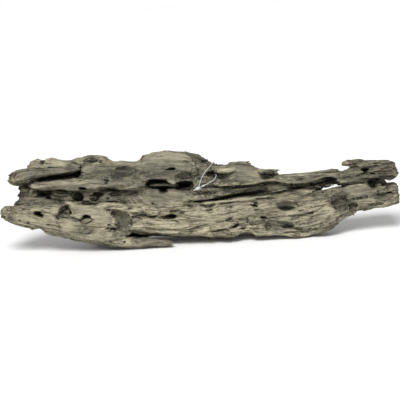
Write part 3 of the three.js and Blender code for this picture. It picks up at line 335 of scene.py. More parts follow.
class FineMesh:
    """A closed mesh that is worked as arrays of points in squares."""

    SPARE_WEIGHT = 1
    KEPT_WEIGHT = 0.5
    WEIGHT_FACTOR = 3
    RAY_LIFT = 0.25
    RAY_SPREAD = 0.98
    FAR_LIGHT = 0.6

    def __init__(self, mesh: bpy.types.Mesh) -> None:
        """Reads the points and the edges.

        Args:
            mesh: the mesh that is worked, which is in squares.
        """
        self.mesh = mesh
        self.points = np.empty((len(mesh.vertices), 3))
        mesh.vertices.foreach_get("co", self.points.ravel())
        self.edges = np.empty((len(mesh.edges), 2), int)
        mesh.edges.foreach_get("vertices", self.edges.ravel())
        self.links = np.maximum(np.bincount(self.edges.ravel(), minlength=len(self.points)), 1)

    def neighbour_mean(self, values: np.ndarray) -> np.ndarray:
        """Averages each point's neighbours.

        Args:
            values: a number, or a row of numbers, for each point.

        Returns:
            The averages, in the same form.
        """
        columns = np.atleast_2d(values.T)
        first, second = self.edges.T
        means = []
        for column in columns:
            total = np.bincount(first, column[second], len(self.points))
            total += np.bincount(second, column[first], len(self.points))
            means.append(total / self.links)
        return np.array(means).T.reshape(values.shape)

    def smooth(self, passes: int, share: float = 0.5, spring: float = 0.52) -> None:
        """Evens the points out and springs back, so that the form keeps its volume.

        Args:
            passes: how many times.
            share: how far a point goes to its neighbours' middle.
            spring: how far it then goes back.
        """
        for _ in range(passes):
            self.points += share * (self.neighbour_mean(self.points) - self.points)
            self.points -= spring * (self.neighbour_mean(self.points) - self.points)

    def soften(self, values: np.ndarray, passes: int) -> np.ndarray:
        """Spreads values over the surface.

        Args:
            values: a number for each point.
            passes: how many times.

        Returns:
            The softened numbers.
        """
        for _ in range(passes):
            values = (values + self.neighbour_mean(values)) / 2
        return values

    def store(self) -> None:
        """Writes the points back to the mesh."""
        self.mesh.vertices.foreach_set("co", self.points.astype(np.float32).ravel())
        self.mesh.update()

    def normals(self) -> np.ndarray:
        """Gives the direction that the surface faces at each point."""
        self.store()
        directions = np.empty((len(self.points), 3), np.float32)
        self.mesh.vertex_normals.foreach_get("vector", directions.ravel())
        return directions.astype(float)

    def thin_out(self, triangles: int, spare: np.ndarray) -> "FineMesh":
        """Closes up the faces that matter least to the form.

        Args:
            triangles: how many triangles are left.
            spare: which points go first.

        Returns:
            The thinned mesh.
        """
        self.store()
        mould = placed("mould", self.mesh)
        group = mould.vertex_groups.new(name="spare")
        group.add(np.flatnonzero(spare).tolist(), self.SPARE_WEIGHT, "REPLACE")
        group.add(np.flatnonzero(~spare).tolist(), self.KEPT_WEIGHT, "REPLACE")
        thin = mould.modifiers.new("thin", "DECIMATE")
        thin.vertex_group = group.name
        thin.vertex_group_factor = self.WEIGHT_FACTOR
        self.mesh.calc_loop_triangles()
        thin.ratio = triangles / len(self.mesh.loop_triangles)
        thin.use_collapse_triangulate = True
        return FineMesh(evaluated(mould))

    def openness(self, directions: np.ndarray, rays: int, reach: float) -> np.ndarray:
        """Finds how open the sky is over each point.

        Args:
            directions: the way that the surface faces at each point.
            rays: how many ways to look.
            reach: how far to look, in squares.

        Returns:
            A number for each point, from 0 in a deep hollow to 1 in the open.
        """
        faces = [tuple(polygon.vertices) for polygon in self.mesh.polygons]
        tree = BVHTree.FromPolygons(self.points.tolist(), faces)
        starts = (self.points + self.RAY_LIFT * directions).tolist()
        turn = math.pi * (3 - math.sqrt(5))
        blocked = np.zeros(len(self.points))
        for ray in range(rays):
            height = 1 - (2 * ray + 1) / rays
            radius = math.sqrt(1 - height * height)
            way = (radius * math.cos(turn * ray), radius * math.sin(turn * ray), height)
            looks = directions + self.RAY_SPREAD * np.array(way)
            hits = [tree.ray_cast(start, look, reach)[3] for start, look in zip(starts, looks.tolist())]
            blocked += [0 if hit is None else 1 - self.FAR_LIGHT * hit / reach for hit in hits]
        return 1 - blocked / rays


@dataclass(frozen=True)
class Line:
    """A line that is drawn on the wood's front, from which wear is measured."""

    line: Outline
    width: float
    depth: float

    TAPER = 4
    LEAST = 0.12

    def wear(self, squares: np.ndarray, reach: float, profile: Profile) -> np.ndarray:
        """Works out the wear about the line.

        Args:
            squares: rows of column, row and depth.
            reach: how far from the line there is wear, in squares.
            profile: what gives the wear from the points' gaps to the line, with a sign that is plus on
                the left of someone who walks along it, and from how full the wear is there.

        Returns:
            The wear at each point.
        """
        line = np.array(self.line, float)
        places = squares[:, :2]
        near = np.all((places > line.min(axis=0) - reach) & (places < line.max(axis=0) + reach), axis=1)
        places = places[near]
        nearest = np.full(len(places), np.inf)
        along = np.zeros(len(places))
        count = len(line) - 1
        for index in range(count):
            start, run = line[index], line[index + 1] - line[index]
            steps = places - start
            share = np.clip((steps @ run) / (run @ run), 0, 1)
            side = np.where(run[0] * steps[:, 1] < run[1] * steps[:, 0], 1, -1)
            gap = np.linalg.norm(steps - share[:, None] * run, axis=1)
            closer = gap < np.abs(nearest)
            along = np.where(closer, (index + share) / count, along)
            nearest = np.where(closer, gap * side, nearest)
        full = np.clip(self.TAPER * np.minimum(along, 1 - along) + self.LEAST, 0, 1)
        wear = np.zeros(len(squares))
        wear[near] = profile(nearest, full)
        return wear


@dataclass(frozen=True)
class Furrow(Line):
    """A groove that is worn along a line."""

    DEEPENING = 1.5
    CORE = 0.6
    REACH = 2
    SHADE_CORE = 0.62
    SHADE_LEAST = 0.4
    SHADE_GROWTH = 0.4

    def rise(self, squares: np.ndarray) -> np.ndarray:
        """Gives how far the groove lifts each point, in squares, which is less than nothing."""
        deepest, width = -self.DEEPENING * self.depth, self.CORE * self.width
        return self.wear(
            squares, self.REACH * self.width, lambda gaps, full: deepest * full * bell(gaps, width * full)
        )

    def painted_shade(self, squares: np.ndarray) -> np.ndarray:
        """Gives how dark the shade painted into the groove is at each point, from 0 to 1."""
        darkest = min(1, self.SHADE_LEAST + self.SHADE_GROWTH * self.depth)
        width = self.SHADE_CORE * self.width
        return darkest * self.wear(
            squares, self.REACH * self.width, lambda gaps, full: full * bell(gaps, width * full)
        )


@dataclass(frozen=True)
class Scarp(Line):
    """A step along a line: the wood stands out on the left of someone who walks along it."""

    lip: float = 3

    EDGE = 0.4
    LIP_SHARE = 0.4
    REACH = 4
    FOOT_WIDTH = 1.3
    FOOT_DARK = 0.4
    HIGHLIGHT_WIDTH = 1.1
    HIGHLIGHT_PALE = 0.3

    def section(self, gaps: np.ndarray, full: np.ndarray) -> np.ndarray:
        """Gives how far the step stands out, by the gaps to its line and how full it is there."""
        fade = bell(gaps, np.where(gaps > 0, self.lip, self.width))
        return self.depth * full * np.where(gaps > 0, self.LIP_SHARE, 1) * np.tanh(gaps / self.EDGE) * fade

    def rise(self, squares: np.ndarray) -> np.ndarray:
        """Gives how far the step lifts each point, in squares."""
        return self.wear(squares, 2 * max(self.width, self.lip), self.section)

    def painted_shade(self, squares: np.ndarray) -> np.ndarray:
        """Gives the shadow painted dark at the foot of the step at each point, from 0 to 1."""
        darkest = min(1, self.FOOT_DARK * self.depth)
        return darkest * self.wear(
            squares, self.REACH, lambda gaps, full: full * (gaps < 0) * bell(gaps, self.FOOT_WIDTH)
        )

    def painted_highlight(self, squares: np.ndarray) -> np.ndarray:
        """Gives the highlight painted pale on the lip of the step at each point, from 0 to 1."""
        palest = min(1, self.HIGHLIGHT_PALE * self.depth)
        return palest * self.wear(
            squares, self.REACH, lambda gaps, full: full * (gaps > 0) * bell(gaps, self.HIGHLIGHT_WIDTH)
        )


@dataclass(frozen=True)
class Oval:
    """An oval place on the sheet."""

    column: float
    row: float
    half_length: float
    half_height: float

    def offsets(self, squares: np.ndarray, tilt_deg: float = 0) -> tuple[np.ndarray, np.ndarray]:
        """Measures points from the oval's middle, in its half sizes.

        Args:
            squares: rows of column, row and depth.
            tilt_deg: how far its long side tilts up to the right.

        Returns:
            How far each point is along the oval and across it.
        """
        tilt = math.radians(tilt_deg)
        along = squares[:, 0] - self.column
        down = squares[:, 1] - self.row
        run = (along * math.cos(tilt) - down * math.sin(tilt)) / self.half_length
        fall = (along * math.sin(tilt) + down * math.cos(tilt)) / self.half_height
        return run, fall


@dataclass(frozen=True)
class Pit(Oval):
    """An oval hole in the wood's front."""

    depth: float
    edge: float = 0.45
    dark: float = 1

    def fill(self, squares: np.ndarray) -> np.ndarray:
        """Gives how full the hole is at each point, from 0 to 1."""
        return ramp(np.hypot(*self.offsets(squares)), 1 + self.edge, 1 - self.edge)

    def rise(self, squares: np.ndarray) -> np.ndarray:
        """Gives how far the hole lifts each point, in squares, which is less than nothing."""
        return -self.depth * self.fill(squares)

    def painted_shade(self, squares: np.ndarray) -> np.ndarray:
        """Gives how dark the shade painted into the hole is at each point, from 0 to 1."""
        return self.dark * self.fill(squares)


@dataclass(frozen=True)
class Push(Oval):
    """A bend of the wood about one place, which carries both its sides along."""

    along: float
    down: float

    def steps(self, squares: np.ndarray) -> np.ndarray:
        """Gives the step of each point, in squares, as rows along the three directions."""
        run, fall = self.offsets(squares)
        return np.exp(-(run**2 + fall**2))[:, None] * np.array([self.along, self.down, 0])


@dataclass(frozen=True)
class Lump:
    """A rounded swelling that is one with the wood."""

    middle: Place
    half: Place
    tilt_deg: float = 0

    def add(self, shaped: bmesh.types.BMesh, squeeze: float) -> None:
        """Adds the swelling.

        Args:
            shaped: a mesh in squares.
            squeeze: how many times its columns are drawn closer.
        """
        turn = Matrix.Rotation(-math.radians(self.tilt_deg), 4, "Z")
        place = Matrix.Translation(self.middle) @ turn @ Matrix.Diagonal((*self.half, 1))
        place = Matrix.Diagonal((1 / squeeze, 1, 1, 1)) @ place
        bmesh.ops.create_uvsphere(shaped, u_segments=24, v_segments=14, radius=1, matrix=place)


@dataclass(frozen=True)
class Patch(Oval):
    """An oval place on the wood's front, which fades out at its edge."""

    strength: float = 1
    tilt_deg: float = 0

    EDGE = (1.25, 0.55)
    FACING = (-0.25, 0.2)

    def share(
        self, squares: np.ndarray, directions: np.ndarray, ragged: np.ndarray | float = 0
    ) -> np.ndarray:
        """Finds how much of the patch is at each point.

        Args:
            squares: rows of column, row and depth.
            directions: the way that the surface faces at each point.
            ragged: numbers about 0 that break up the patch's edge.

        Returns:
            Shares from 0 to the patch's strength.
        """
        distance = np.hypot(*self.offsets(squares, self.tilt_deg))
        inside = ramp(distance + ragged, *self.EDGE)
        return self.strength * inside * ramp(-directions[:, 2], *self.FACING)


@dataclass(frozen=True)
class Fill(Patch):
    """A place where the floor of a hollow lies nearer the viewer, by its strength in squares."""

    below: float = -14
    reach: float = 4

    def rise(self, squares: np.ndarray, directions: np.ndarray) -> np.ndarray:
        """Gives how far the floor lifts each point towards the viewer, in squares."""
        deep = ramp(squares[:, 2], self.below, self.below + self.reach)
        return deep * self.share(squares, directions)


Patches = tuple[Patch, ...]


def listed(kind: type, *rows: tuple[float, ...]) -> tuple:
    """Makes one thing of the given kind from each row of its sizes."""
    return tuple(kind(*row) for row in rows)


def most(
    patches: Patches, squares: np.ndarray, directions: np.ndarray, ragged: np.ndarray | float = 0
) -> np.ndarray:
    """Finds the share of the strongest patch at each point."""
    return np.max([patch.share(squares, directions, ragged) for patch in patches], axis=0)


class Wire:
    """A node's output that takes part in Python arithmetic, where each step adds a node."""

    def __init__(self, bench: "NodeBench", socket: bpy.types.NodeSocket) -> None:
        """Holds an output of one node tree.

        Args:
            bench: what adds the nodes.
            socket: the output.
        """
        self.bench = bench
        self.socket = socket

    def __add__(self, other: "Wire | float") -> "Wire":
        """Adds."""
        return self.bench.maths("ADD", self, other)

    def __radd__(self, other: float) -> "Wire":
        """Adds to a number."""
        return self.bench.maths("ADD", other, self)

    def __sub__(self, other: "Wire | float") -> "Wire":
        """Subtracts."""
        return self.bench.maths("SUBTRACT", self, other)

    def __rsub__(self, other: float) -> "Wire":
        """Subtracts from a number."""
        return self.bench.maths("SUBTRACT", other, self)

    def __mul__(self, other: "Wire | float") -> "Wire":
        """Multiplies."""
        return self.bench.maths("MULTIPLY", self, other)

    def __rmul__(self, other: float) -> "Wire":
        """Multiplies a number."""
        return self.bench.maths("MULTIPLY", other, self)

    def between(self, low: float, high: float) -> "Wire":
        """Eases from 0 at low to 1 at high.

        Args:
            low: what gives 0.
            high: what gives 1.

        Returns:
            The eased value.
        """
        settings = {"interpolation_type": "SMOOTHSTEP"}
        return self.bench.node("ShaderNodeMapRange", settings, {0: self, 1: low, 2: high})


class NodeBench:
    """Builds a material's node tree."""

    def __init__(self, name: str) -> None:
        """Starts a material with one principled shader.

        Args:
            name: the material's name.
        """
        self.material = bpy.data.materials.new(name)
        self.material.use_nodes = True
        self.tree = self.material.node_tree
        self.shader = next(n for n in self.tree.nodes if n.type == "BSDF_PRINCIPLED")

    def node(self, kind: str, settings: dict, sockets: dict, output: int = 0) -> Wire:
        """Adds a node.

        Args:
            kind: the node's type.
            settings: its properties, which are set first.
            sockets: values or wires by the input's name or number.
            output: the number of the output that is given back.

        Returns:
            The output.
        """
        node = self.tree.nodes.new(kind)
        for name, value in settings.items():
            setattr(node, name, value)
        self.feed(node, sockets)
        return Wire(self, node.outputs[output])

    def feed(self, node: bpy.types.Node, sockets: dict) -> None:
        """Sets or links a node's inputs.

        Args:
            node: the node.
            sockets: values or wires by the input's name or number.
        """
        for name, value in sockets.items():
            if isinstance(value, Wire):
                self.tree.links.new(value.socket, node.inputs[name])
            elif isinstance(value, tuple) and node.inputs[name].type == "RGBA":
                node.inputs[name].default_value = (*value, 1)
            else:
                node.inputs[name].default_value = value

    def maths(self, operation: str, first: Wire | float, second: Wire | float) -> Wire:
        """Adds a Math node.

        Args:
            operation: what it does.
            first: its first value.
            second: its second value.

        Returns:
            The result.
        """
        return self.node("ShaderNodeMath", {"operation": operation}, {0: first, 1: second})

    def mix(
        self, share: Wire, start: Wire | Colour, end: Wire | Colour, way: Blend = Blend.COVER
    ) -> Wire:
        """Mixes two colours.

        Args:
            share: how much of the second.
            start: the first colour.
            end: the second colour.
            way: how they are blended.

        Returns:
            The mixed colour.
        """
        settings = {"data_type": "RGBA", "blend_type": way.value, "clamp_factor": True}
        return self.node("ShaderNodeMix", settings, {0: share, 6: start, 7: end}, output=2)

    def attribute(self, name: str, output: int = 2) -> Wire:
        """Reads an attribute of the mesh, as a value or, from output 1, as a vector."""
        return self.node("ShaderNodeAttribute", {"attribute_name": name}, {}, output)

    def stretched_noise(self, place: Wire, scale: Place, detail: float) -> Wire:
        """Adds noise that is drawn out along the grain.

        Args:
            place: the coordinates.
            scale: how many times finer it is in each direction.
            detail: how many finer layers it has.

        Returns:
            The noise, about 0.5.
        """
        fitted = self.node("ShaderNodeVectorMath", {"operation": "MULTIPLY"}, {0: place, 1: scale})
        return self.node("ShaderNodeTexNoise", {}, {"Vector": fitted, "Scale": 1, "Detail": detail})


@dataclass(frozen=True)
class WeatheredWood:
    """Dry grey-brown wood: streaked along the grain, with shade painted dark into its hollows, grooves and
    gaps, pale where it broke, and light painted on lit tops and ledge lips.
    """

    grey: Colour = linear(130, 126, 109)
    tan: Colour = linear(160, 153, 130)
    umber: Colour = linear(92, 88, 76)
    cream: Colour = linear(189, 182, 154)
    slate_and_shade: Colour = linear(82, 80, 73)
    russet: Colour = linear(112, 98, 84)
    # Black for shade painted into hollows, gaps, grooves and holes, and for the fine checks
    shade_and_crack_black: Colour = linear(15, 14, 15)
    roughness: float = 0.86

    def material(self) -> bpy.types.Material:
        """Builds the material."""
        bench = NodeBench("weathered_wood")
        place = bench.attribute("grain", output=1)
        streaks = bench.stretched_noise(place, (0.03, 0.3, 0.3), 6)
        fibres = bench.stretched_noise(place, (0.075, 0.62, 0.62), 5)
        grit = bench.stretched_noise(place, (0.42, 0.62, 0.62), 3)
        checks = bench.stretched_noise(place, (0.03, 0.2, 0.2), 2)
        broken = bench.stretched_noise(place, (0.06, 0.13, 0.13), 1)
        hairs = bench.stretched_noise(place, (0.13, 1.05, 1.05), 3)
        specks = bench.stretched_noise(place, (0.34, 0.5, 0.5), 4)
        mottle = bench.stretched_noise(place, (0.05, 0.1, 0.1), 4)
        relief = bench.attribute("relief")
        pale = bench.attribute("pale")
        torn = bench.attribute("torn")
        rough = bench.attribute("rough")
        worn = 0.35 + 0.65 * torn
        checked = checks.between(0.45, 0.5) * checks.between(0.55, 0.5) * broken.between(0.5, 0.6)
        # Painted shade: the less open the sky over a point, the nearer its colour goes to black, less so
        # where it is pale
        painted_hollow_shade = bench.attribute("hollow").between(0.6, 0.95) * (0.9 - 0.8 * pale)
        coats = (
            (mottle.between(0.45, 0.7) * 0.6, self.tan, Blend.COVER),
            # Pale: broken and clean-worn wood, and light painted on lit tops, ledges and lower edges
            (pale * (0.55 + 0.6 * fibres), self.cream, Blend.COVER),
            # Slate: slate-grey wood, and shade painted slate grey into recesses and under overhangs
            (bench.attribute("slate_and_shade") * (0.5 + 0.7 * streaks), self.slate_and_shade, Blend.COVER),
            # Painted light and shade by relief: ridges lighter, grooves darker
            (relief.between(0.5, 0.85) * 0.5, self.tan, Blend.COVER),
            (relief.between(0.5, 0.12) * 0.75, self.umber, Blend.SHADE),
            (worn * fibres.between(0.5, 0.3) * 0.7, self.umber, Blend.SHADE),
            (fibres.between(0.52, 0.72) * 0.3, self.cream, Blend.COVER),
            (worn * grit.between(0.5, 0.3) * 0.4, self.umber, Blend.SHADE),
            (worn * grit.between(0.52, 0.72) * 0.22, self.cream, Blend.COVER),
            (worn * hairs.between(0.5, 0.28) * 0.64, self.umber, Blend.SHADE),
            (worn * hairs.between(0.54, 0.74) * 0.36, self.cream, Blend.COVER),
            (checked * (0.05 + 0.5 * torn), self.shade_and_crack_black, Blend.COVER),
            (rough * mottle.between(0.4, 0.6) * 0.4, self.russet, Blend.COVER),
            (rough * specks.between(0.52, 0.34) * 0.9, self.umber, Blend.SHADE),
            # Painted shade: black in deep gaps, holes, recesses, groove bottoms and at the feet of steps
            (bench.attribute("painted_shade").between(0.1, 1) * 0.95, self.shade_and_crack_black, Blend.COVER),
            (painted_hollow_shade, self.shade_and_crack_black, Blend.COVER),
        )
        colour = bench.mix(streaks.between(0.32, 0.68), self.umber, self.grey)
        for share, tint, way in coats:
            colour = bench.mix(share, colour, tint, way)
        bump = bench.node(
            "ShaderNodeBump",
            {},
            {"Strength": 0.9, "Distance": 0.0018, "Height": worn * (fibres + 0.5 * hairs + 0.5 * grit)},
        )
        sockets = {"Base Color": colour, "Roughness": self.roughness + 0.2 * (fibres - 0.5)}
        sockets |= {"Normal": bump, "Specular IOR Level": 0.25}
        bench.feed(bench.shader, sockets)
        return bench.material


@dataclass(frozen=True)
class MouldedNylon:
    """White nylon with a satin skin that lets a little light into it."""

    colour: Colour = linear(182, 185, 187)
    roughness: float = 0.34

    def material(self) -> bpy.types.Material:
        """Builds the material."""
        bench = NodeBench("moulded_nylon")
        place = bench.node("ShaderNodeTexCoord", {}, {}, output=3)
        cloud = bench.stretched_noise(place, (420, 420, 420), 2)
        sockets = {
            "Base Color": bench.mix(cloud.between(0.4, 0.7) * 0.3, self.colour, linear(164, 170, 174)),
            "Roughness": self.roughness + 0.16 * (cloud - 0.5),
            "Subsurface Weight": 0.15,
            "Subsurface Scale": 0.001,
        }
        bench.feed(bench.shader, sockets)
        return bench.material


@dataclass(frozen=True)
class Weather:
    """What weather does to the grain: the sizes of each kind of mark, in squares, and where it is."""

    lump_height: float = 1.0
    lumps: Layer = Layer(26, 9, 7)
    ridge_height: float = 1.4
    ridge_foot: float = 0.2
    ridges: Layer = Layer(46, 3.1, 19)
    ridged: Layer = Layer(44, 13, 3, off=-0.35, on=0.25)
    crack_depth: float = 2.2
    crack_width: float = 0.03
    cracks: Layer = Layer(50, 5, 31)
    cracked: Layer = Layer(30, 8, 53, off=0, on=0.22)
    fibre_height: float = 0.5
    fibres: Layer = Layer(22, 1.3, 71)
    ledge_height: float = 1.3
    ledge_rise: float = 8
    ledge_run: float = 12
    ledge_bend: float = 1.4
    ledge_fall: float = 0.1
    ledge_bends: Layer = Layer(70, 12, 83)
    ledged: Layer = Layer(40, 12, 97, off=-0.1, on=0.2)
    splinter_height: float = 0.8
    splinter_size: Place = (30, 6, 9)
    splintered: Layer = Layer(50, 16, 43, off=-0.25, on=0.15)
    seam_depth: float = 0.8
    seam_edge: Pair = (0.12, 0.02)

    def work(
        self, grain: np.ndarray, torn: np.ndarray, noise: GradientNoise
    ) -> tuple[np.ndarray, np.ndarray]:
        """Works out the worn grain.

        Args:
            grain: where the points lie along and across the grain.
            torn: how torn the surface is at each point, from 0 to 1.
            noise: what varies the wear.

        Returns:
            How far each point stands out, in squares, and its relief from 0 in a groove to 1 on a ridge.
        """
        lumps = self.lumps.at(noise, grain)
        ridges = np.abs(self.ridges.at(noise, grain)) - self.ridge_foot
        ridges *= torn * self.ridged.where(noise, grain)
        cracks = bell(self.cracks.at(noise, grain), self.crack_width) * torn
        cracks *= self.cracked.where(noise, grain)
        fibres = (0.4 + 0.6 * torn) * self.fibres.at(noise, grain)
        phase = grain[:, 1] / self.ledge_rise + grain[:, 2] / self.ledge_run
        phase = phase + self.ledge_bend * self.ledge_bends.at(noise, grain)
        saw = phase - np.floor(phase)
        crest = 1 - self.ledge_fall
        ledges = np.where(saw < crest, saw / crest, (1 - saw) / self.ledge_fall)
        ledges = (ledges - 0.5) * self.ledged.where(noise, grain) * torn
        split = torn * self.splintered.where(noise, grain)
        splinters, seams = Splinters(seed=5).at(grain / self.splinter_size)
        splinters *= split
        seams = split * ramp(seams, *self.seam_edge)
        rise = (
            self.lump_height * lumps
            + self.ridge_height * ridges
            - self.crack_depth * cracks
            + self.ledge_height * ledges
            + self.fibre_height * fibres
            + self.splinter_height * splinters
            - self.seam_depth * seams
        )
        relief = 0.5 + 0.4 * ledges + 0.4 * fibres + 0.8 * ridges - 0.5 * cracks
        relief += 0.16 * splinters - 0.4 * seams
        return rise, np.clip(relief, 0, 1)


@dataclass
class Driftwood:
    """The wood: its solid with the fine surface that weather gave it."""

    drawing: Drawing
    grain: Grain
    weather: Weather
    finish: WeatheredWood
    node: str = "driftwood"
    name: str = "driftwood_weathered"
    voxel: float = 0.6
    squeeze: float = 2
    smoothing: int = 2
    triangles: int = 197000
    rays: int = 20
    reach: float = 22
    rough_height: float = 1.3
    crumbs: tuple[Layer, Layer] = (Layer(3.2, 2.4, 5), Layer(1.7, 1.3, 9))
    fray: float = 4
    frays: tuple[Layer, Layer] = (Layer(16, 2.1, 61), Layer(9, 1.1, 67))
    fray_limits: Pair = (-0.7, 0.25)
    stray_along: float = 2
    stray_down: float = 1.1
    straying: tuple[Layer, Layer] = (Layer(5, 3, 13), Layer(7, 2.6, 23))
    ragged: tuple[Layer, Layer] = (Layer(9, 4), Layer(3.5, 1.6))
    carved_facing: Pair = (0.05, 0.35)
    frayed_facing: Pair = (0.3, 0.75)
    marked_facing: Pair = (-0.3, 0.2)
    spare_facing: float = -0.1

    def build(self) -> bpy.types.Object:
        """Builds the wood's mesh and gives its object."""
        noise = GradientNoise(seed=11)
        fine = FineMesh(self.remeshed())
        fine.smooth(self.smoothing)
        directions = fine.normals()
        fine.points += self.displacement(fine.points, directions, noise)
        fine = fine.thin_out(self.triangles, directions[:, 2] > self.spare_facing)
        directions = fine.normals()
        open_sky = fine.soften(fine.openness(directions, self.rays, self.reach), 1)
        grain = self.grain.coordinates(fine.points, noise)
        marks = self.marks(fine.points, directions, noise)
        torn = self.torn(fine.points, directions)
        relief = self.weather.work(grain, torn, noise)[1]
        # hollow is how closed the sky is over each point, from which the finish paints shade
        marks |= {"relief": relief, "hollow": 1 - open_sky, "torn": torn}
        fine.points = self.drawing.to_metres(fine.points)
        fine.points[:, 2] = np.maximum(fine.points[:, 2], 0)
        fine.store()
        for name, values in marks.items():
            fine.mesh.attributes.new(name, "FLOAT", "POINT").data.foreach_set("value", values)
        fine.mesh.attributes.new("grain", "FLOAT_VECTOR", "POINT").data.foreach_set("vector", grain.ravel())
        fine.mesh.polygons.foreach_set("use_smooth", np.ones(len(fine.mesh.polygons), bool))
        return placed(self.name, fine.mesh)

    def displacement(
        self, squares: np.ndarray, directions: np.ndarray, noise: GradientNoise
    ) -> np.ndarray:
        """Works out how wear moves the points of the surface.

        Args:
            squares: the points, in squares.
            directions: the way that the surface faces at each point.
            noise: what varies the wear.

        Returns:
            A row of steps along the three directions for each point, in squares.
        """
        grain = self.grain.coordinates(squares, noise)
        rise = self.weather.work(grain, self.torn(squares, directions), noise)[0]
        rise += self.carving(self.strayed(squares, noise)) * ramp(-directions[:, 2], *self.carved_facing)
        coarse, fine = (layer.at(noise, squares) for layer in self.crumbs)
        rise += self.rough_height * most(ROUGH_PATCHES, squares, directions) * (coarse + 0.5 * fine)
        steps = directions * rise[:, None] + sum(push.steps(squares) for push in PUSHES)
        steps[:, 2] -= np.max([fill.rise(squares, directions) for fill in FILLS], axis=0)
        coarse, fine = (layer.at(noise, squares) for layer in self.frays)
        frayed = np.clip(coarse + 0.5 * fine, *self.fray_limits)
        steps[:, 0] += self.fray * frayed * ramp(np.abs(directions[:, 0]), *self.frayed_facing)
        return steps

    def remeshed(self) -> bpy.types.Mesh:
        """Gives the solid's mesh in squares, divided evenly into faces that are long along the grain."""
        solid = FineMesh(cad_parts[self.node].data.copy())
        solid.points = self.drawing.to_squares(solid.points) / (self.squeeze, 1, 1)
        solid.store()
        shaped = bmesh.new()
        shaped.from_mesh(solid.mesh)
        bmesh.ops.remove_doubles(shaped, verts=shaped.verts, dist=1e-4)
        for lump in LUMPS:
            lump.add(shaped, self.squeeze)
        fine = voxelled(shaped, self.voxel)
        fine.transform(Matrix.Diagonal((self.squeeze, 1, 1, 1)))
        return fine

    def torn(self, squares: np.ndarray, directions: np.ndarray) -> np.ndarray:
        """Finds how torn the surface is at each point, from nearly 0, where it is worn smooth, to 1."""
        return 1 - most(SMOOTH_PATCHES, squares, directions)

    def strayed(self, squares: np.ndarray, noise: GradientNoise) -> np.ndarray:
        """Shifts points a little on the sheet, so that the wear that is drawn there is uneven.

        Args:
            squares: the points, in squares.
            noise: what shifts them.

        Returns:
            The shifted points.
        """
        along, down = (layer.at(noise, squares) for layer in self.straying)
        level = np.zeros(len(squares))
        return squares + np.stack([self.stray_along * along, self.stray_down * down, level], axis=1)

    def carving(self, squares: np.ndarray) -> np.ndarray:
        """Adds up the furrows, the steps and the pits of the wood's front.

        Args:
            squares: the points, in squares.

        Returns:
            How far each point stands out, in squares.
        """
        grooves = np.min([furrow.rise(squares) for furrow in FURROWS], axis=0)
        holes = np.min([pit.rise(squares) for pit in PITS], axis=0)
        return np.minimum(grooves, holes) + sum(scarp.rise(squares) for scarp in SCARPS)

    def marks(
        self, squares: np.ndarray, directions: np.ndarray, noise: GradientNoise
    ) -> dict[str, np.ndarray]:
        """Finds where the wood is pale or lit with painted light, slate grey or darkened with painted shade,
        rotten, or painted dark with shade in its gaps, grooves, holes and under steps.

        Args:
            squares: the points, in squares.
            directions: the way that the surface faces at each point.
            noise: what breaks up the edges.

        Returns:
            The share of each mark at each point, by name.
        """
        coarse, fine = (layer.at(noise, squares) for layer in self.ragged)
        ragged = 0.7 * coarse + 0.4 * fine
        lists = {"pale": PALE_AND_LIT_PATCHES, "slate_and_shade": SLATE_AND_SHADE_PATCHES, "rough": ROUGH_PATCHES, "painted_shade": PAINTED_SHADE_PATCHES}
        marks = {name: most(patches, squares, directions, ragged) for name, patches in lists.items()}
        facing = ramp(-directions[:, 2], *self.marked_facing)
        strayed = self.strayed(squares, noise)
        # Painted shade along furrows, at the feet of steps and in pits, and painted highlights on the lips
        # of steps
        painted_shades = [wear.painted_shade(strayed) for wear in FURROWS + SCARPS + PITS]
        painted_shade = facing * np.max(painted_shades, axis=0)
        marks["painted_shade"] = np.maximum(painted_shade, marks["painted_shade"])
        painted_highlights = facing * np.max([scarp.painted_highlight(strayed) for scarp in SCARPS], axis=0)
        marks["pale"] = np.maximum(marks["pale"], painted_highlights)
        return marks

    def dress(self, wood: bpy.types.Object) -> None:
        """Gives the wood its finish and its place in the frame."""
        wood.data.materials.append(self.finish.material())
        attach(wood, BODY)
        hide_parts(self.node)


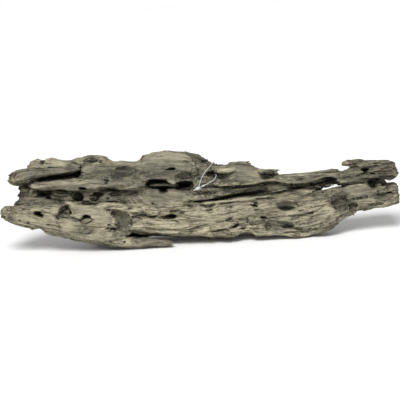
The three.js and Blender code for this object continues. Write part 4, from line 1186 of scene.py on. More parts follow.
@dataclass
class TagLoop:
    """The nylon loop that is threaded through the wood's top rim, moulded in one with its lock head."""

    drawing: Drawing
    finish: MouldedNylon
    node: str = "tag_loop"
    name: str = "tag_loop_moulded"
    radius: float = 0.00055
    steps: int = 14
    sides: int = 12
    voxel: float = 0.00017
    smoothing: int = 4
    route: tuple[Place, ...] = (
        (198, 188.2, -13.5),
        (199.4, 185, -13.2),
        (200.8, 180, -12.8),
        (203, 175, -12.2),
        (206.6, 170, -9.8),
        (210.2, 166, -5.4),
        (212.4, 162.9, -0.8),
        (213.8, 162, 2.1),
        (215.3, 164.5, 5.1),
        (215.2, 169, 6.4),
        (214.4, 171.8, 5.8),
        (214.8, 173.8, 2.4),
        (215.6, 174.2, -3),
        (216.2, 175, -9.6),
        (215.2, 178.2, -12.8),
        (212.4, 180.9, -12.9),
        (208, 183.4, -12.2),
        (204, 185.4, -12.2),
        (199.6, 187.6, -13.2),
    )

    def build(self) -> bpy.types.Object:
        """Builds the loop's mesh and gives its object."""
        shaped = bmesh.new()
        self.add_tube(shaped, self.centreline())
        for centre, half, tilt in self.bulges():
            self.add_bulge(shaped, centre, half, tilt)
        fine = FineMesh(voxelled(shaped, self.voxel))
        fine.smooth(self.smoothing)
        fine.store()
        return placed(self.name, fine.mesh)

    def centreline(self) -> np.ndarray:
        """Gives points along the loop's middle, in metres, on a smooth curve through its route."""
        stops = self.drawing.to_metres(np.array(self.route))
        ends = np.vstack([2 * stops[0] - stops[1], stops, 2 * stops[-1] - stops[-2]])
        line = []
        for before, start, end, after in zip(ends, ends[1:], ends[2:], ends[3:]):
            for share in np.arange(self.steps) / self.steps:
                bend = 2 * before - 5 * start + 4 * end - after
                twist = 3 * start - before - 3 * end + after
                run = end - before
                line.append((2 * start + share * (run + share * (bend + share * twist))) / 2)
        return np.array([*line, stops[-1]])

    def bulges(self) -> list[tuple[Place, Place, float]]:
        """Lists the head, its tail and the bead: middle, half sizes in squares and tilt in degrees."""
        return [
            ((197.7, 188.5, -13.8), (3, 1.7, 1.1), 22),
            ((198.9, 188.0, -14.2), (0.7, 1.8, 1.0), 22),
            ((196.4, 189.1, -14.1), (0.6, 1.6, 1.0), 22),
            ((194.5, 190.1, -14.3), (1.5, 0.6, 0.6), 30),
            ((203.4, 185.7, -12.4), (2.2, 0.85, 0.85), 26),
        ]

    def add_tube(self, shaped: bmesh.types.BMesh, line: np.ndarray) -> None:
        """Adds a round tube with closed ends.

        Args:
            shaped: the mesh that it is added to.
            line: the points that it follows.
        """
        runs = np.gradient(line, axis=0)
        side = np.cross(runs[0], (0, 0, 1))
        rings = []
        for point, run in zip(line, runs):
            run = run / np.linalg.norm(run)
            side = side - run * (side @ run)
            side = side / np.linalg.norm(side)
            up = np.cross(run, side)
            turns = 2 * math.pi * np.arange(self.sides) / self.sides
            ring = [point + self.radius * (math.cos(t) * side + math.sin(t) * up) for t in turns]
            rings.append([shaped.verts.new(corner) for corner in ring])
        for ring, following in zip(rings, rings[1:]):
            for index in range(self.sides):
                beside = (index + 1) % self.sides
                shaped.faces.new((ring[index], ring[beside], following[beside], following[index]))
        shaped.faces.new(list(reversed(rings[0])))
        shaped.faces.new(rings[-1])

    def add_bulge(self, shaped: bmesh.types.BMesh, centre: Place, half: Place, tilt_deg: float) -> None:
        """Adds a rounded swelling.

        Args:
            shaped: the mesh that it is added to.
            centre: its middle on the drawing.
            half: its half sizes along, across and in depth, in squares.
            tilt_deg: how far its long side tilts up to the right.
        """
        along, over, toward = (Vector(axis) for axis in self.drawing.axes())
        turn = Matrix.Rotation(math.radians(tilt_deg), 3, toward)
        axes = [turn @ along * half[0], turn @ over * half[1], toward * half[2]]
        place = Matrix([axis * self.drawing.square for axis in axes]).transposed().to_4x4()
        place.translation = self.drawing.to_metres(np.array([centre]))[0]
        bmesh.ops.create_uvsphere(shaped, u_segments=20, v_segments=12, radius=1, matrix=place)

    def dress(self, loop: bpy.types.Object) -> None:
        """Gives the loop its finish and its place in the frame."""
        loop.data.materials.append(self.finish.material())
        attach(loop, BODY)
        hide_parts(self.node)


@dataclass(frozen=True)
class Softbox:
    """A square light that faces the middle of the wood: where it hangs, its side and its power."""

    name: str
    place: Place
    size: float
    power: float

    def hang(self) -> None:
        """Hangs the light."""
        lamp = bpy.data.lights.new(self.name, "AREA")
        lamp.size = self.size
        lamp.energy = self.power
        light = placed(self.name, lamp)
        light.location = self.place
        light.rotation_euler = (-Vector(self.place)).to_track_quat("-Z", "Y").to_euler()


@dataclass
class Studio:
    """The pale floor, the soft lights and the camera."""

    drawing: Drawing
    floor_radius: float = 9
    lens: float = 200
    sensor: float = 36
    frame_squares: float = 400
    view_end: float = 100
    aim: Place = (200, 200, -15)
    sun_power: float = 3.05
    sun_width_deg: float = 28
    sun_tilt_deg: float = 44
    sun_turn_deg: float = -12
    sky_strength: float = 0.34
    softboxes: tuple[Softbox, ...] = (
        Softbox("front_fill", (0.3, -2.4, 0.25), 1.8, 14),
        Softbox("back_fill", (-0.4, 2.6, 0.8), 1.8, 22),
    )

    def build(self) -> None:
        """Builds the floor, the lights and the camera."""
        self.lay_floor()
        self.hang_sun()
        for softbox in self.softboxes:
            softbox.hang()
        self.fill_sky()
        self.set_camera()
        bpy.context.scene.view_settings.view_transform = "Standard"

    def lay_floor(self) -> None:
        """Lays a round pale floor."""
        shaped = bmesh.new()
        bmesh.ops.create_circle(shaped, cap_ends=True, segments=96, radius=self.floor_radius)
        mesh = bpy.data.meshes.new("floor")
        shaped.to_mesh(mesh)
        shaped.free()
        floor = placed("floor", mesh)
        bench = NodeBench("pale_floor")
        place = bench.node("ShaderNodeTexCoord", {}, {}, output=3)
        cloud = bench.stretched_noise(place, (3, 3, 3), 2)
        tint = bench.mix(cloud.between(0.35, 0.65), linear(250, 250, 250), linear(252, 252, 252))
        bench.feed(bench.shader, {"Base Color": tint, "Roughness": 0.9, "Specular IOR Level": 0})
        mesh.materials.append(bench.material)

    def hang_sun(self) -> None:
        """Hangs one broad soft light high over the front, which lights the floor evenly."""
        lamp = bpy.data.lights.new("soft_sun", "SUN")
        lamp.energy = self.sun_power
        lamp.angle = math.radians(self.sun_width_deg)
        light = placed("soft_sun", lamp)
        light.rotation_euler = (math.radians(self.sun_tilt_deg), 0, math.radians(self.sun_turn_deg))

    def fill_sky(self) -> None:
        """Surrounds the scene with even white light."""
        world = bpy.data.worlds.new("studio")
        world.use_nodes = True
        sky = world.node_tree.nodes["Background"].inputs
        sky["Color"].default_value = (1, 1, 1, 1)
        sky["Strength"].default_value = self.sky_strength
        bpy.context.scene.world = world

    def set_camera(self) -> None:
        """Sets the camera square to the drawing, so that the drawing fills its frame."""
        data = bpy.data.cameras.new("camera")
        data.lens = self.lens
        data.sensor_width = self.sensor
        data.clip_end = self.view_end
        camera = placed("camera", data)
        along, over, toward = self.drawing.axes()
        distance = self.frame_squares * self.drawing.square * self.lens / self.sensor
        place = self.drawing.to_metres(np.array([self.aim]))[0] + toward * distance
        pose = np.eye(4)
        pose[:3, :3] = np.stack([along, over, toward], axis=1)
        pose[:3, 3] = place
        camera.matrix_world = Matrix(pose.tolist())
        bpy.context.scene.camera = camera


# Grooves and cracks of the front
FURROWS = (
    # the upper limb
    Furrow(((17, 170.6), (15, 174), (13.6, 177), (15, 180.5)), 2, 0.9),
    Furrow(((22, 177), (21, 180), (23, 182)), 1.4, 0.6),
    Furrow(((44, 163), (48, 163.6), (53, 162.6)), 1.3, 0.7),
    Furrow(((68, 163), (74, 162.8), (79, 164)), 1.5, 1.2),
    Furrow(((46, 160.6), (54, 161.4), (62, 163)), 1, 0.5),
    Furrow(((30, 160.4), (36, 161.6), (41, 164), (44, 166.6)), 1.4, 0.8),
    Furrow(((18, 171.6), (30, 170.4), (44, 170.2), (60, 169)), 1, 0.6),
    Furrow(((24, 174.8), (36, 173.4), (52, 172)), 1, 0.6),
    # the rail
    Furrow(((30, 186), (27.4, 190), (28.6, 195)), 1.7, 1.5),
    Furrow(((17.6, 185), (18.4, 190), (17.4, 195)), 2, 1.4),
    Furrow(((62, 182.4), (70, 181.4), (78, 180.8), (86, 180.4)), 1.1, 1),
    Furrow(((44, 188.2), (52, 187.8), (61, 187.4)), 1, 0.9),
    Furrow(((34, 186), (44, 185), (56, 184)), 0.9, 0.6),
    Furrow(((80, 184.5), (92, 184), (103, 183.6)), 0.9, 0.5),
    Furrow(((103.6, 179.6), (107, 180.4), (110, 179.8)), 1.6, 2.4),
    Furrow(((107, 179), (106.4, 182), (106.8, 186)), 1.8, 2.6),
    Furrow(((98, 177.4), (102, 175.6), (106, 177.4), (109, 178)), 1.5, 0.8),
    Furrow(((110, 187.4), (124, 187), (140, 186)), 1, 0.5),
    Furrow(((92, 190.8), (100, 189.2), (108, 188.8), (118, 189.6), (128, 190.8), (134, 190.6)), 1.5, 2.2),
    # the left slope and the log
    Furrow(((18, 208.6), (26, 209), (34, 209.8)), 1.2, 1),
    Furrow(((9.6, 209), (9.4, 214), (9.8, 220)), 1.2, 0.6),
    Furrow(((12, 211.6), (18, 212.8), (26, 213)), 1, 0.7),
    Furrow(((56.6, 220), (59, 215.4), (62, 211.6), (66, 209.4), (70, 206)), 2.4, 2),
    Furrow(((57, 219), (58.4, 223), (60.4, 226), (60, 230)), 1.6, 0.9),
    Furrow(((68, 216.4), (74, 218), (79, 219.4), (81, 222)), 1.2, 1.1),
    Furrow(((20, 221), (28, 223.4), (38, 225)), 1, 0.6),
    Furrow(((24, 214.6), (32, 216.6), (40, 219.4), (50, 221)), 0.9, 0.5),
    # the front plate and the bay
    Furrow(((86, 226.6), (89, 229), (91, 231.6), (94, 233.6)), 1.2, 0.4),
    Furrow(((78, 231), (80, 231.6), (82, 232.4)), 1.2, 0.5),
    Furrow(((83, 229), (83.4, 231), (84.4, 233)), 1.1, 0.4),
    Furrow(((90, 228.4), (92, 229), (94, 230)), 1.1, 0.4),
    Furrow(((81, 219.4), (83, 216.8), (86, 215.7), (89.5, 216.4), (92, 218), (94, 220)), 1.3, 1.6),
    Furrow(((105.4, 228.4), (110, 228.8), (117.6, 228.6)), 1.8, 2.2),
    Furrow(((98.6, 222.6), (98.4, 226)), 1, 0.7),
    Furrow(((129, 216.2), (133, 217), (138, 217.8), (144, 219.4)), 1.6, 1.4),
    # the pale ridge
    Furrow(((104, 202.4), (112, 201.8), (122, 202), (131, 203.4)), 1.2, 1.2),
    Furrow(((104, 204.8), (114, 205.6), (124, 205.6)), 0.9, 0.7),
    Furrow(((112, 207.6), (122, 208), (128, 208.4)), 0.9, 0.5),
    Furrow(((127, 208), (130.6, 208.4), (134.6, 207.8)), 1.8, 1.6),
    Furrow(((140, 213.8), (143.6, 214.6), (146, 215.8)), 1.8, 2),
    Furrow(((146, 216.2), (152, 216.8), (159, 215.8)), 1.4, 1.6),
    Furrow(((159.6, 207.6), (160.6, 210), (160.4, 213.6)), 1.5, 1.8),
    # the upper body
    Furrow(((85, 157.6), (91, 156.4), (98, 156.6)), 1.3, 0.9),
    Furrow(((84, 174), (88, 174.4), (93, 174.4)), 1.2, 1),
    Furrow(((149, 156), (157, 156.6), (168, 155.6)), 1, 0.8),
    Furrow(((180, 163.4), (185, 161.8), (191, 163)), 1.3, 0.8),
    Furrow(((180, 179.4), (184, 178.2), (190, 178.2)), 1.3, 1.6),
    Furrow(((199.6, 159.6), (203, 161.2), (207, 160.2)), 2, 2),
    Furrow(((143, 168), (158, 167), (170, 165.6)), 1, 0.5),
    Furrow(((138, 176), (141, 171), (148, 167)), 1.2, 0.5),
    Furrow(((178, 171.6), (188, 170.4), (196, 169)), 1, 0.5),
    # between the holes and the long groove
    Furrow(((147, 187.2), (156, 188.1), (166, 188.3), (175, 188.2)), 1.8, 2.6),
    Furrow(((174, 188.8), (180, 189.8), (187, 189.9), (194, 187.8)), 2, 2.4),
    Furrow(((168.6, 211.8), (174, 211.4), (181, 210.6)), 1.5, 2),
    Furrow(((190, 193.4), (195, 194.2), (205, 193.4), (224, 191.4)), 1.3, 1.5),
    Furrow(((184, 202.8), (192, 201.6), (204, 200.8), (222, 199.4), (244, 197.2)), 1.8, 2.4),
    Furrow(((181, 206.8), (187, 206), (192, 205.2)), 1.2, 1.3),
    Furrow(((196, 204.8), (203, 205.2), (205.4, 206.6), (212, 206), (220, 204.2)), 1.5, 2.2),
    Furrow(((217, 204.8), (222, 203.8), (234, 202.2), (246, 201)), 1.5, 2.2),
    Furrow(((203, 210.2), (209, 210.2), (215, 208.4)), 1.4, 1.4),
    Furrow(((252, 199.8), (258, 198.6), (268, 198.2), (281, 197)), 1.8, 2.6),
    Furrow(((272, 193.4), (280, 192.4), (290, 190.2)), 1.6, 2.6),
    Furrow(((145, 195.4), (156, 196.6), (168, 198.6)), 1, 0.5),
    Furrow(((160, 203), (172, 204.4), (180, 206)), 1, 0.5),
    # the lower body
    Furrow(((139, 228.4), (150, 229), (158, 230.4), (166, 231.2)), 1.1, 1.2),
    Furrow(((140, 219), (144, 219.6)), 1, 0.9),
    Furrow(((176, 219.4), (184, 220.2), (198, 220.4), (212, 219.6)), 1, 0.7),
    Furrow(((184, 230), (192, 229), (197, 227), (204, 225), (213, 223.8)), 1.3, 1.3),
    Furrow(((214, 222.6), (220, 222), (226, 221.2)), 1.3, 1),
    Furrow(((224, 220.8), (229, 219.4), (233.6, 216)), 1.8, 2.2),
    Furrow(((236, 219.8), (243, 219), (251, 218.4)), 1, 0.9),
    Furrow(((229, 228.2), (235, 226.4), (239.6, 223.4)), 2.2, 2.4),
    Furrow(((207, 231.8), (215, 231.4), (222, 229.8), (230, 228.8)), 1.5, 1.6),
    Furrow(((224, 235.4), (231, 234.8), (238, 233.6)), 1.2, 1.2),
    Furrow(((219, 236.8), (227, 238.2), (236, 237)), 1.2, 1),
    Furrow(((249.6, 203.8), (254, 204.6), (257.6, 206.8)), 1.6, 2),
    Furrow(((253.6, 208.2), (255.4, 209.6), (258, 210.6)), 1.3, 1.5),
    Furrow(((262, 224.4), (266, 226), (266.6, 229), (264, 231.6)), 1.2, 0.8),
    Furrow(((212, 214.6), (226, 213.4), (240, 211)), 1, 0.5),
    Furrow(((216, 226.4), (224, 225.6), (232, 223.4)), 1, 0.7),
    Furrow(((298, 211.4), (301, 210.8), (303, 209.6)), 1.4, 1.3),
    Furrow(((305, 209), (308, 211), (310, 212.6)), 1, 0.7),
    Furrow(((307, 230), (309.6, 229.2), (311.4, 228)), 1.3, 1.3),
    Furrow(((284, 217.6), (296, 216), (308, 213.6), (320, 211)), 1, 0.7),
    Furrow(((286, 220.6), (298, 219.4), (310, 217)), 1, 0.7),
    Furrow(((296, 225.4), (308, 222.6), (322, 219)), 1, 0.7),
    Furrow(((262, 201.6), (274, 200.6), (290, 199)), 1, 0.7),
    Furrow(((296, 197.6), (308, 196), (322, 194)), 1, 0.8),
    Furrow(((304, 202), (316, 200), (328, 197.4)), 1, 0.6),
    Furrow(((310, 207.4), (318, 206), (330, 203)), 1, 0.6),
    Furrow(((311.4, 193.4), (314, 191), (318, 189.6), (322, 189)), 1.7, 2.2),
    Furrow(((330, 191.6), (334, 190.4)), 1.2, 0.9),
    # the upper right plate and arm
    Furrow(((221, 168.2), (226, 167.2), (231, 167)), 1.3, 1),
    Furrow(((222, 180.6), (240, 181.2), (256, 181.8)), 0.9, 0.6),
    Furrow(((230, 176.8), (244, 176.4), (256, 176)), 0.9, 0.4),
    Furrow(((226, 164.6), (238, 164.4), (248, 165)), 0.9, 0.5),
    Furrow(((261, 177.6), (268, 177.6), (275, 177.2)), 1.2, 1.4),
    Furrow(((292, 178.6), (300, 179), (307, 178)), 1.8, 0.8),
    Furrow(((305, 173.6), (320, 172.6), (338, 171.4)), 1.4, 1),
    Furrow(((309, 184), (318, 183.4), (328, 182.4)), 1.3, 2),
    Furrow(((339, 184), (346, 182.8), (353, 180.8)), 1.3, 2),
    Furrow(((342, 164.6), (350, 164.4), (359, 163.8)), 1.1, 1.6),
    Furrow(((350, 162.4), (359, 162.2), (368, 162.8)), 0.9, 0.8),
    Furrow(((371, 164), (380, 163.2), (393, 164.6)), 1.1, 1.2),
    Furrow(((371.4, 161), (371, 164), (371.8, 166.4)), 1, 0.8),
    Furrow(((355, 175.4), (358, 175), (362, 174.4)), 1.6, 1.8),
    Furrow(((366, 168.8), (380, 168), (394, 167.6)), 1, 0.8),
    Furrow(((366, 171.2), (382, 171.6), (396, 170.6)), 1, 0.8),
    Furrow(((376, 173.8), (386, 173.6), (396, 173)), 1, 0.8),
    Furrow(((352, 169.4), (357, 170.2), (361, 169.8)), 1, 0.5),
    Furrow(((345, 161.6), (356, 161), (368, 161.4)), 1, 1),
    Furrow(((358, 166.4), (370, 166.8), (384, 166)), 1.1, 1),
    Furrow(((374, 176.4), (386, 176.2), (397, 175.4)), 1.3, 1.4),
    Furrow(((282, 178.4), (296, 176.4), (310, 176.6), (324, 174.8)), 1, 0.9),
    Furrow(((284, 180.6), (296, 180.8), (308, 180)), 1, 0.9),
    Furrow(((311, 178.4), (320, 175.6), (327, 173.6)), 1.1, 1),
    # the lower right arm
    Furrow(((346, 187.6), (358, 186), (368, 185.4)), 1, 0.6),
    Furrow(((380, 181.8), (384, 183), (386, 186.4)), 1.3, 0.9),
    Furrow(((346.6, 199.8), (356, 198.8), (368, 197.2), (378, 195.2)), 1.1, 1.5),
    Furrow(((374, 198.2), (378, 198.4)), 1.4, 1.8),
    Furrow(((377.6, 188.4), (378.8, 190.6), (378.4, 193)), 1.4, 1.4),
    Furrow(((388, 184), (388.6, 187), (387, 190)), 2, 1),
    Furrow(((351, 196.4), (353, 195.6), (353.4, 197)), 1.2, 0.9),
    Furrow(((358, 202.4), (366, 201.8), (376, 200.8)), 1, 0.6),
    Furrow(((362, 206.6), (372, 205), (384, 204)), 1, 0.6),
    Furrow(((350, 190), (362, 188.6), (370, 188)), 0.9, 0.4),
    Furrow(((384, 202.6), (392, 201), (398, 198.6)), 1, 0.6),
)

# Steps of the front, where a layer ends
SCARPS = (
    Scarp(((28, 168), (40, 167.4), (60, 166.2), (78, 165.4)), 5, 2.2, lip=2),
    Scarp(((366, 182.4), (350, 184.4), (341, 186.4)), 3, 1.6),
    Scarp(((391, 196), (388, 190), (389, 183)), 4, 1.6),
    Scarp(((283, 177.4), (294, 176), (306, 175.6), (318, 174)), 3, 1),
    Scarp(((352, 166.6), (360, 166.4), (370, 167)), 2.4, 1.4),
    Scarp(((338, 174.6), (344, 171.4), (350, 167.6)), 3, 1.2),
    Scarp(((94, 166.4), (104, 165.6), (116, 165.4), (128, 166.6)), 5, 2),
    Scarp(((84, 175.4), (98, 175), (110, 177.4)), 4, 1.2),
    Scarp(((196.6, 178), (197.4, 171), (195, 165), (192, 160), (188, 155)), 7, 3),
    Scarp(((262, 181), (260.6, 176), (258, 171.6), (254, 167)), 5, 2),
    Scarp(((205, 185.6), (216, 186.2), (232, 185.6), (250, 184.6), (264, 182)), 3, 2.2),
    Scarp(((281, 181), (287, 183), (298, 183.2), (305, 182.4)), 3, 2),
    Scarp(((340, 176.8), (352, 175.6), (366, 173.6)), 4, 2),
    Scarp(((341.6, 213.4), (337, 210), (333, 205), (331, 199), (332.6, 194.4)), 8, 3.4),
    Scarp(((357, 203), (357.4, 206), (356, 210)), 6, 2),
    Scarp(((280, 194), (270, 194.2), (262, 195), (258, 197)), 2, 1),
    Scarp(((226, 196), (216, 197.6), (204, 199.6)), 2.4, 1.2),
    Scarp(((308, 204.8), (299, 206.8), (294, 210), (286, 211), (278, 210.4)), 7, 1.6, lip=2),
    Scarp(((300, 230), (290, 229.6), (280, 229)), 6, 1.2, lip=2),
    Scarp(((57.6, 214), (60, 209.4), (64, 205.6)), 4, 2),
    Scarp(((158, 206), (140, 205), (120, 203.4), (104, 203)), 2.6, 1.2),
    Scarp(((127, 233.6), (121, 231.2), (116, 230)), 3, 1.4),
    Scarp(((52, 209.4), (36, 208.4), (22, 207.6), (10, 207)), 3, 1.2),
    Scarp(((252, 221), (241, 221), (236, 224)), 2.6, 1.4),
    Scarp(((266, 231), (267, 228), (264, 225)), 3, 1.6),
    Scarp(((304, 217), (290, 219), (283, 221)), 3, 1),
    Scarp(((391, 190), (386, 193.4), (380, 194.6), (376, 195.4)), 4, 1.6),
    Scarp(((34, 186.6), (48, 187), (62, 186)), 2, 0.8),
    Scarp(((66, 191), (78, 191.4), (92, 191)), 2, 1),
    Scarp(((98, 206.6), (84, 204.6), (76, 202.8), (66, 201)), 3, 2.8, lip=3),
    Scarp(((65, 201.4), (71, 207), (72, 213), (69, 217)), 4, 2, lip=4),
    Scarp(((117.6, 227), (118.4, 222), (112, 215), (104, 209.4)), 5, 2, lip=4),
    Scarp(((146, 176), (158, 173.6), (170, 174)), 4, 1),
    Scarp(((214, 171.6), (220, 173.4), (228, 172.8), (236, 170.2)), 2.6, 2.4),
    Scarp(((126, 211), (138, 214), (146, 215.4), (154, 215.9), (160.6, 213.4)), 2, 1.8, lip=4),
)

# Bends that set the edges of the gaps
PUSHES = (
    Push(325, 184.4, 9, 2.6, 0, 2.8),
    Push(317, 187.2, 5, 4, 4.5, 0.6),
    Push(333, 188.8, 6, 2, 0, -1.6),
    Push(337, 187, 7, 2.4, 6, -0.4),
)

# Swellings that the solid leaves out
LUMPS = (
    Lump((316.5, 184.4, 4), (4, 3.4, 7)),
    Lump((226, 170, -10), (11, 2.7, 2.8), 4),
    Lump((147, 210.6, -17.5), (15, 3, 4.2), -11),
)

# Hollows of the front that are shallow enough to be lit
FILLS = (
    Fill(60, 193, 8, 3.4, 6, below=-8),
    Fill(114.5, 194, 8, 3, 6, below=-6),
    Fill(93, 197.5, 4, 2.4, 8, below=-2),
    Fill(87.8, 222.4, 10, 6, 9.4, below=-22, reach=8),
    Fill(124, 218, 14, 11, 8.5, below=-15),
    Fill(286.5, 202.6, 13, 5, 7, below=-16),
    Fill(284, 222.4, 13, 3.8, 7, below=-20),
    Fill(386, 197.5, 11.5, 5, 8.2, below=-13.5, reach=7),
    Fill(362, 198.6, 14, 3.2, 4.5, below=-14, tilt_deg=8),
    Fill(195, 239, 50, 7, 5, below=-60),
    Fill(276, 238, 40, 6, 4, below=-60),
    Fill(100, 247, 42, 7, 5, below=-60, tilt_deg=-8),
    Fill(328, 229, 18, 7, 4, below=-60, tilt_deg=36),
    Fill(30, 229, 26, 5, 3, below=-60, tilt_deg=-12),
    Fill(62.5, 213, 5, 4.4, 6, below=-17, reach=6),
    Fill(66, 209, 6.5, 4.6, 11, below=-17.5, reach=9),
    Fill(122, 173, 14, 6, 2, below=-15),
)

# Hollows and small holes of the front, from left to right: column, row, half length, half height,
# depth, how soft the edge is and how dark the shade painted in the hole is
PITS = listed(
    Pit,
    (4.6, 217.4, 1.3, 1, 1), (12, 175.6, 3, 4, 0.8, 0.5, 0.35), (12.6, 217, 3.2, 5, 1, 0.5, 0.3),
    (21, 220.4, 1.2, 1.2, 0.8), (26.4, 226.6, 1.2, 0.9, 1), (28.6, 223.3, 1.3, 1, 1.2),
    (33, 192.6, 3, 1.6, 1.4, 0.5, 0.7), (42, 162, 2.6, 2, 1.6), (46.6, 163.4, 1.6, 0.8, 1.2),
    (46.6, 198, 3.4, 1.7, 1.8, 0.4, 0.9), (58, 216.6, 2.4, 3, 2, 0.5, 0.55),
    (60, 193, 6.4, 2.2, 0.6, 0.5, 0.15), (67.6, 207, 3.4, 2.4, 2, 0.5, 0.7),
    (71, 194, 3, 2, 1.2, 0.5, 0.3), (74.6, 199, 3, 1.5, 1.4, 0.5, 0.6),
    (87, 202.8, 12, 2.2, 2.6, 0.7, 0.4), (87, 231, 9, 4.5, 1.4, 0.5, 0.25),
    (90, 160.5, 7, 2.6, 1.6, 0.4, 0.45), (90.6, 241.8, 1.1, 0.9, 1.2), (92.6, 198.6, 3, 2, 1.4, 0.5, 0.6),
    (96, 160.6, 1.6, 0.9, 1.2), (101, 162, 2.6, 1.2, 0.7), (101, 192.6, 4, 1.6, 1.2, 0.5, 0.6),
    (107.2, 198.6, 1.2, 1, 2), (109.6, 224.8, 1.3, 0.8, 1), (116, 213.4, 6, 3, 1, 0.6, 0.3),
    (121, 193.4, 4, 1.8, 1, 0.5, 0.2), (122, 173.5, 14, 5.5, 2, 0.8, 0.25), (124.4, 242, 1.3, 1.5, 1.4),
    (135, 241.4, 1, 0.8, 0.8), (152.6, 203.7, 2, 1, 1.4), (163, 217.4, 4, 2.4, 1.4, 0.5, 0.3),
    (184, 175, 9, 3.4, 2.2, 0.5, 0.4), (200.5, 172, 4.5, 4.5, 2.4, 0.5, 0.4), (220.4, 163.8, 2, 1, 1),
    (223, 176, 6, 2.4, 1.6, 0.4, 0.45), (230.6, 206.4, 1.4, 0.8, 1), (242.8, 228.6, 2.4, 1, 2),
    (251.4, 224.6, 1.2, 1, 1), (251.4, 228.4, 1.2, 0.8, 0.8), (263, 217.6, 3, 1.1, 2),
    (268, 174.6, 8, 3.2, 2.4, 0.3, 0.3), (270, 227.5, 4.5, 3.6, 1.2, 0.5, 0.3),
    (287, 206.6, 9, 3, 0.4, 0.7, 0.3), (287, 208.2, 8.5, 2.2, 3.4, 0.5, 0.85),
    (287.5, 226, 5.4, 2.2, 2.4, 0.6, 0.9), (301.5, 178.6, 6, 1.8, 0.8, 0.5, 0.4),
    (318, 192, 4.5, 2, 1.4, 0.4, 0.35), (327, 222.4, 1.2, 2, 0.8, 0.6, 0.5),
    (328.6, 217.6, 1.8, 2.2, 0.8, 0.6, 0.6), (337, 218.8, 1.2, 1.4, 0.8, 0.6, 0.6),
    (341, 202.5, 8.5, 8.5, 4, 0.3, 0.45), (345.6, 196.4, 1.3, 1.1, 1.6),
    (346, 178.4, 9, 2.4, 1.4, 0.4, 0.35), (352.5, 206, 4.5, 4.5, 2.6, 0.35, 0.35),
    (373, 184, 6, 3.8, 2, 0.35, 0.4), (382, 196, 9, 3.4, 1.2, 0.7, 0.55), (383, 185, 1.6, 1.2, 0.8),
)

# Where the wood is worn smooth, from left to right as in the lists below: column, row, half length,
# half height, strength and tilt
SMOOTH_PATCHES = listed(
    Patch,
    (30, 216, 30, 7, 0.4, -12), (48, 168, 40, 10, 0.8), (64.2, 211.8, 9, 3.6, 0.9, 47),
    (84, 184, 52, 5, 0.8, 3), (84, 195, 52, 5, 0.6), (84, 230, 32, 9, 0.6, -14), (87.6, 221, 7, 5, 0.9),
    (92, 170, 14, 7, 0.8), (93, 214.6, 28, 9, 0.9, -16), (122, 172, 22, 9, 0.8), (122, 221, 9, 10, 0.9),
    (155, 243, 20, 5, 0.7), (165, 165, 30, 16, 0.85), (165, 197, 32, 8, 0.85), (170, 185, 30, 8, 0.8),
    (203, 168, 8, 8, 0.5), (228, 201, 44, 2.4, 0.8, 7), (242, 173, 20, 11, 0.8), (284, 225, 14, 7, 0.7),
    (286, 206, 14, 8, 0.8), (310, 178, 30, 6, 0.6, 4), (352, 178, 18, 4, 0.7, 4), (358, 190, 18, 7, 0.85),
    (364, 199, 16, 5, 0.8, 6), (372, 184, 8, 7, 0.8), (384, 197, 9, 5, 0.8),
)

# Where the wood is rotten, so that it is crumbly and full of small pits
ROUGH_PATCHES = listed(
    Patch,
    (6, 213, 9, 9), (13, 175, 8, 8), (18, 196, 6, 13, 0.8), (36, 226, 26, 8, 0.3), (44, 201, 26, 7, 0.6),
    (64, 208, 6, 5, 0.3), (86, 231, 12, 7), (98, 160, 18, 7, 0.5), (114, 223, 5, 6, 0.4),
    (150, 243, 20, 5, 0.4), (216, 165, 12, 6, 0.7), (260, 222, 16, 12, 0.5), (300, 196, 26, 6, 0.4),
    (318, 191, 10, 6, 0.7), (331, 219, 10, 7, 0.7), (341, 203, 11, 11, 0.8), (346, 163, 12, 5, 0.8),
    (352, 206, 7, 6), (390, 168, 12, 9, 0.7), (392, 195, 9, 12, 0.35),
)
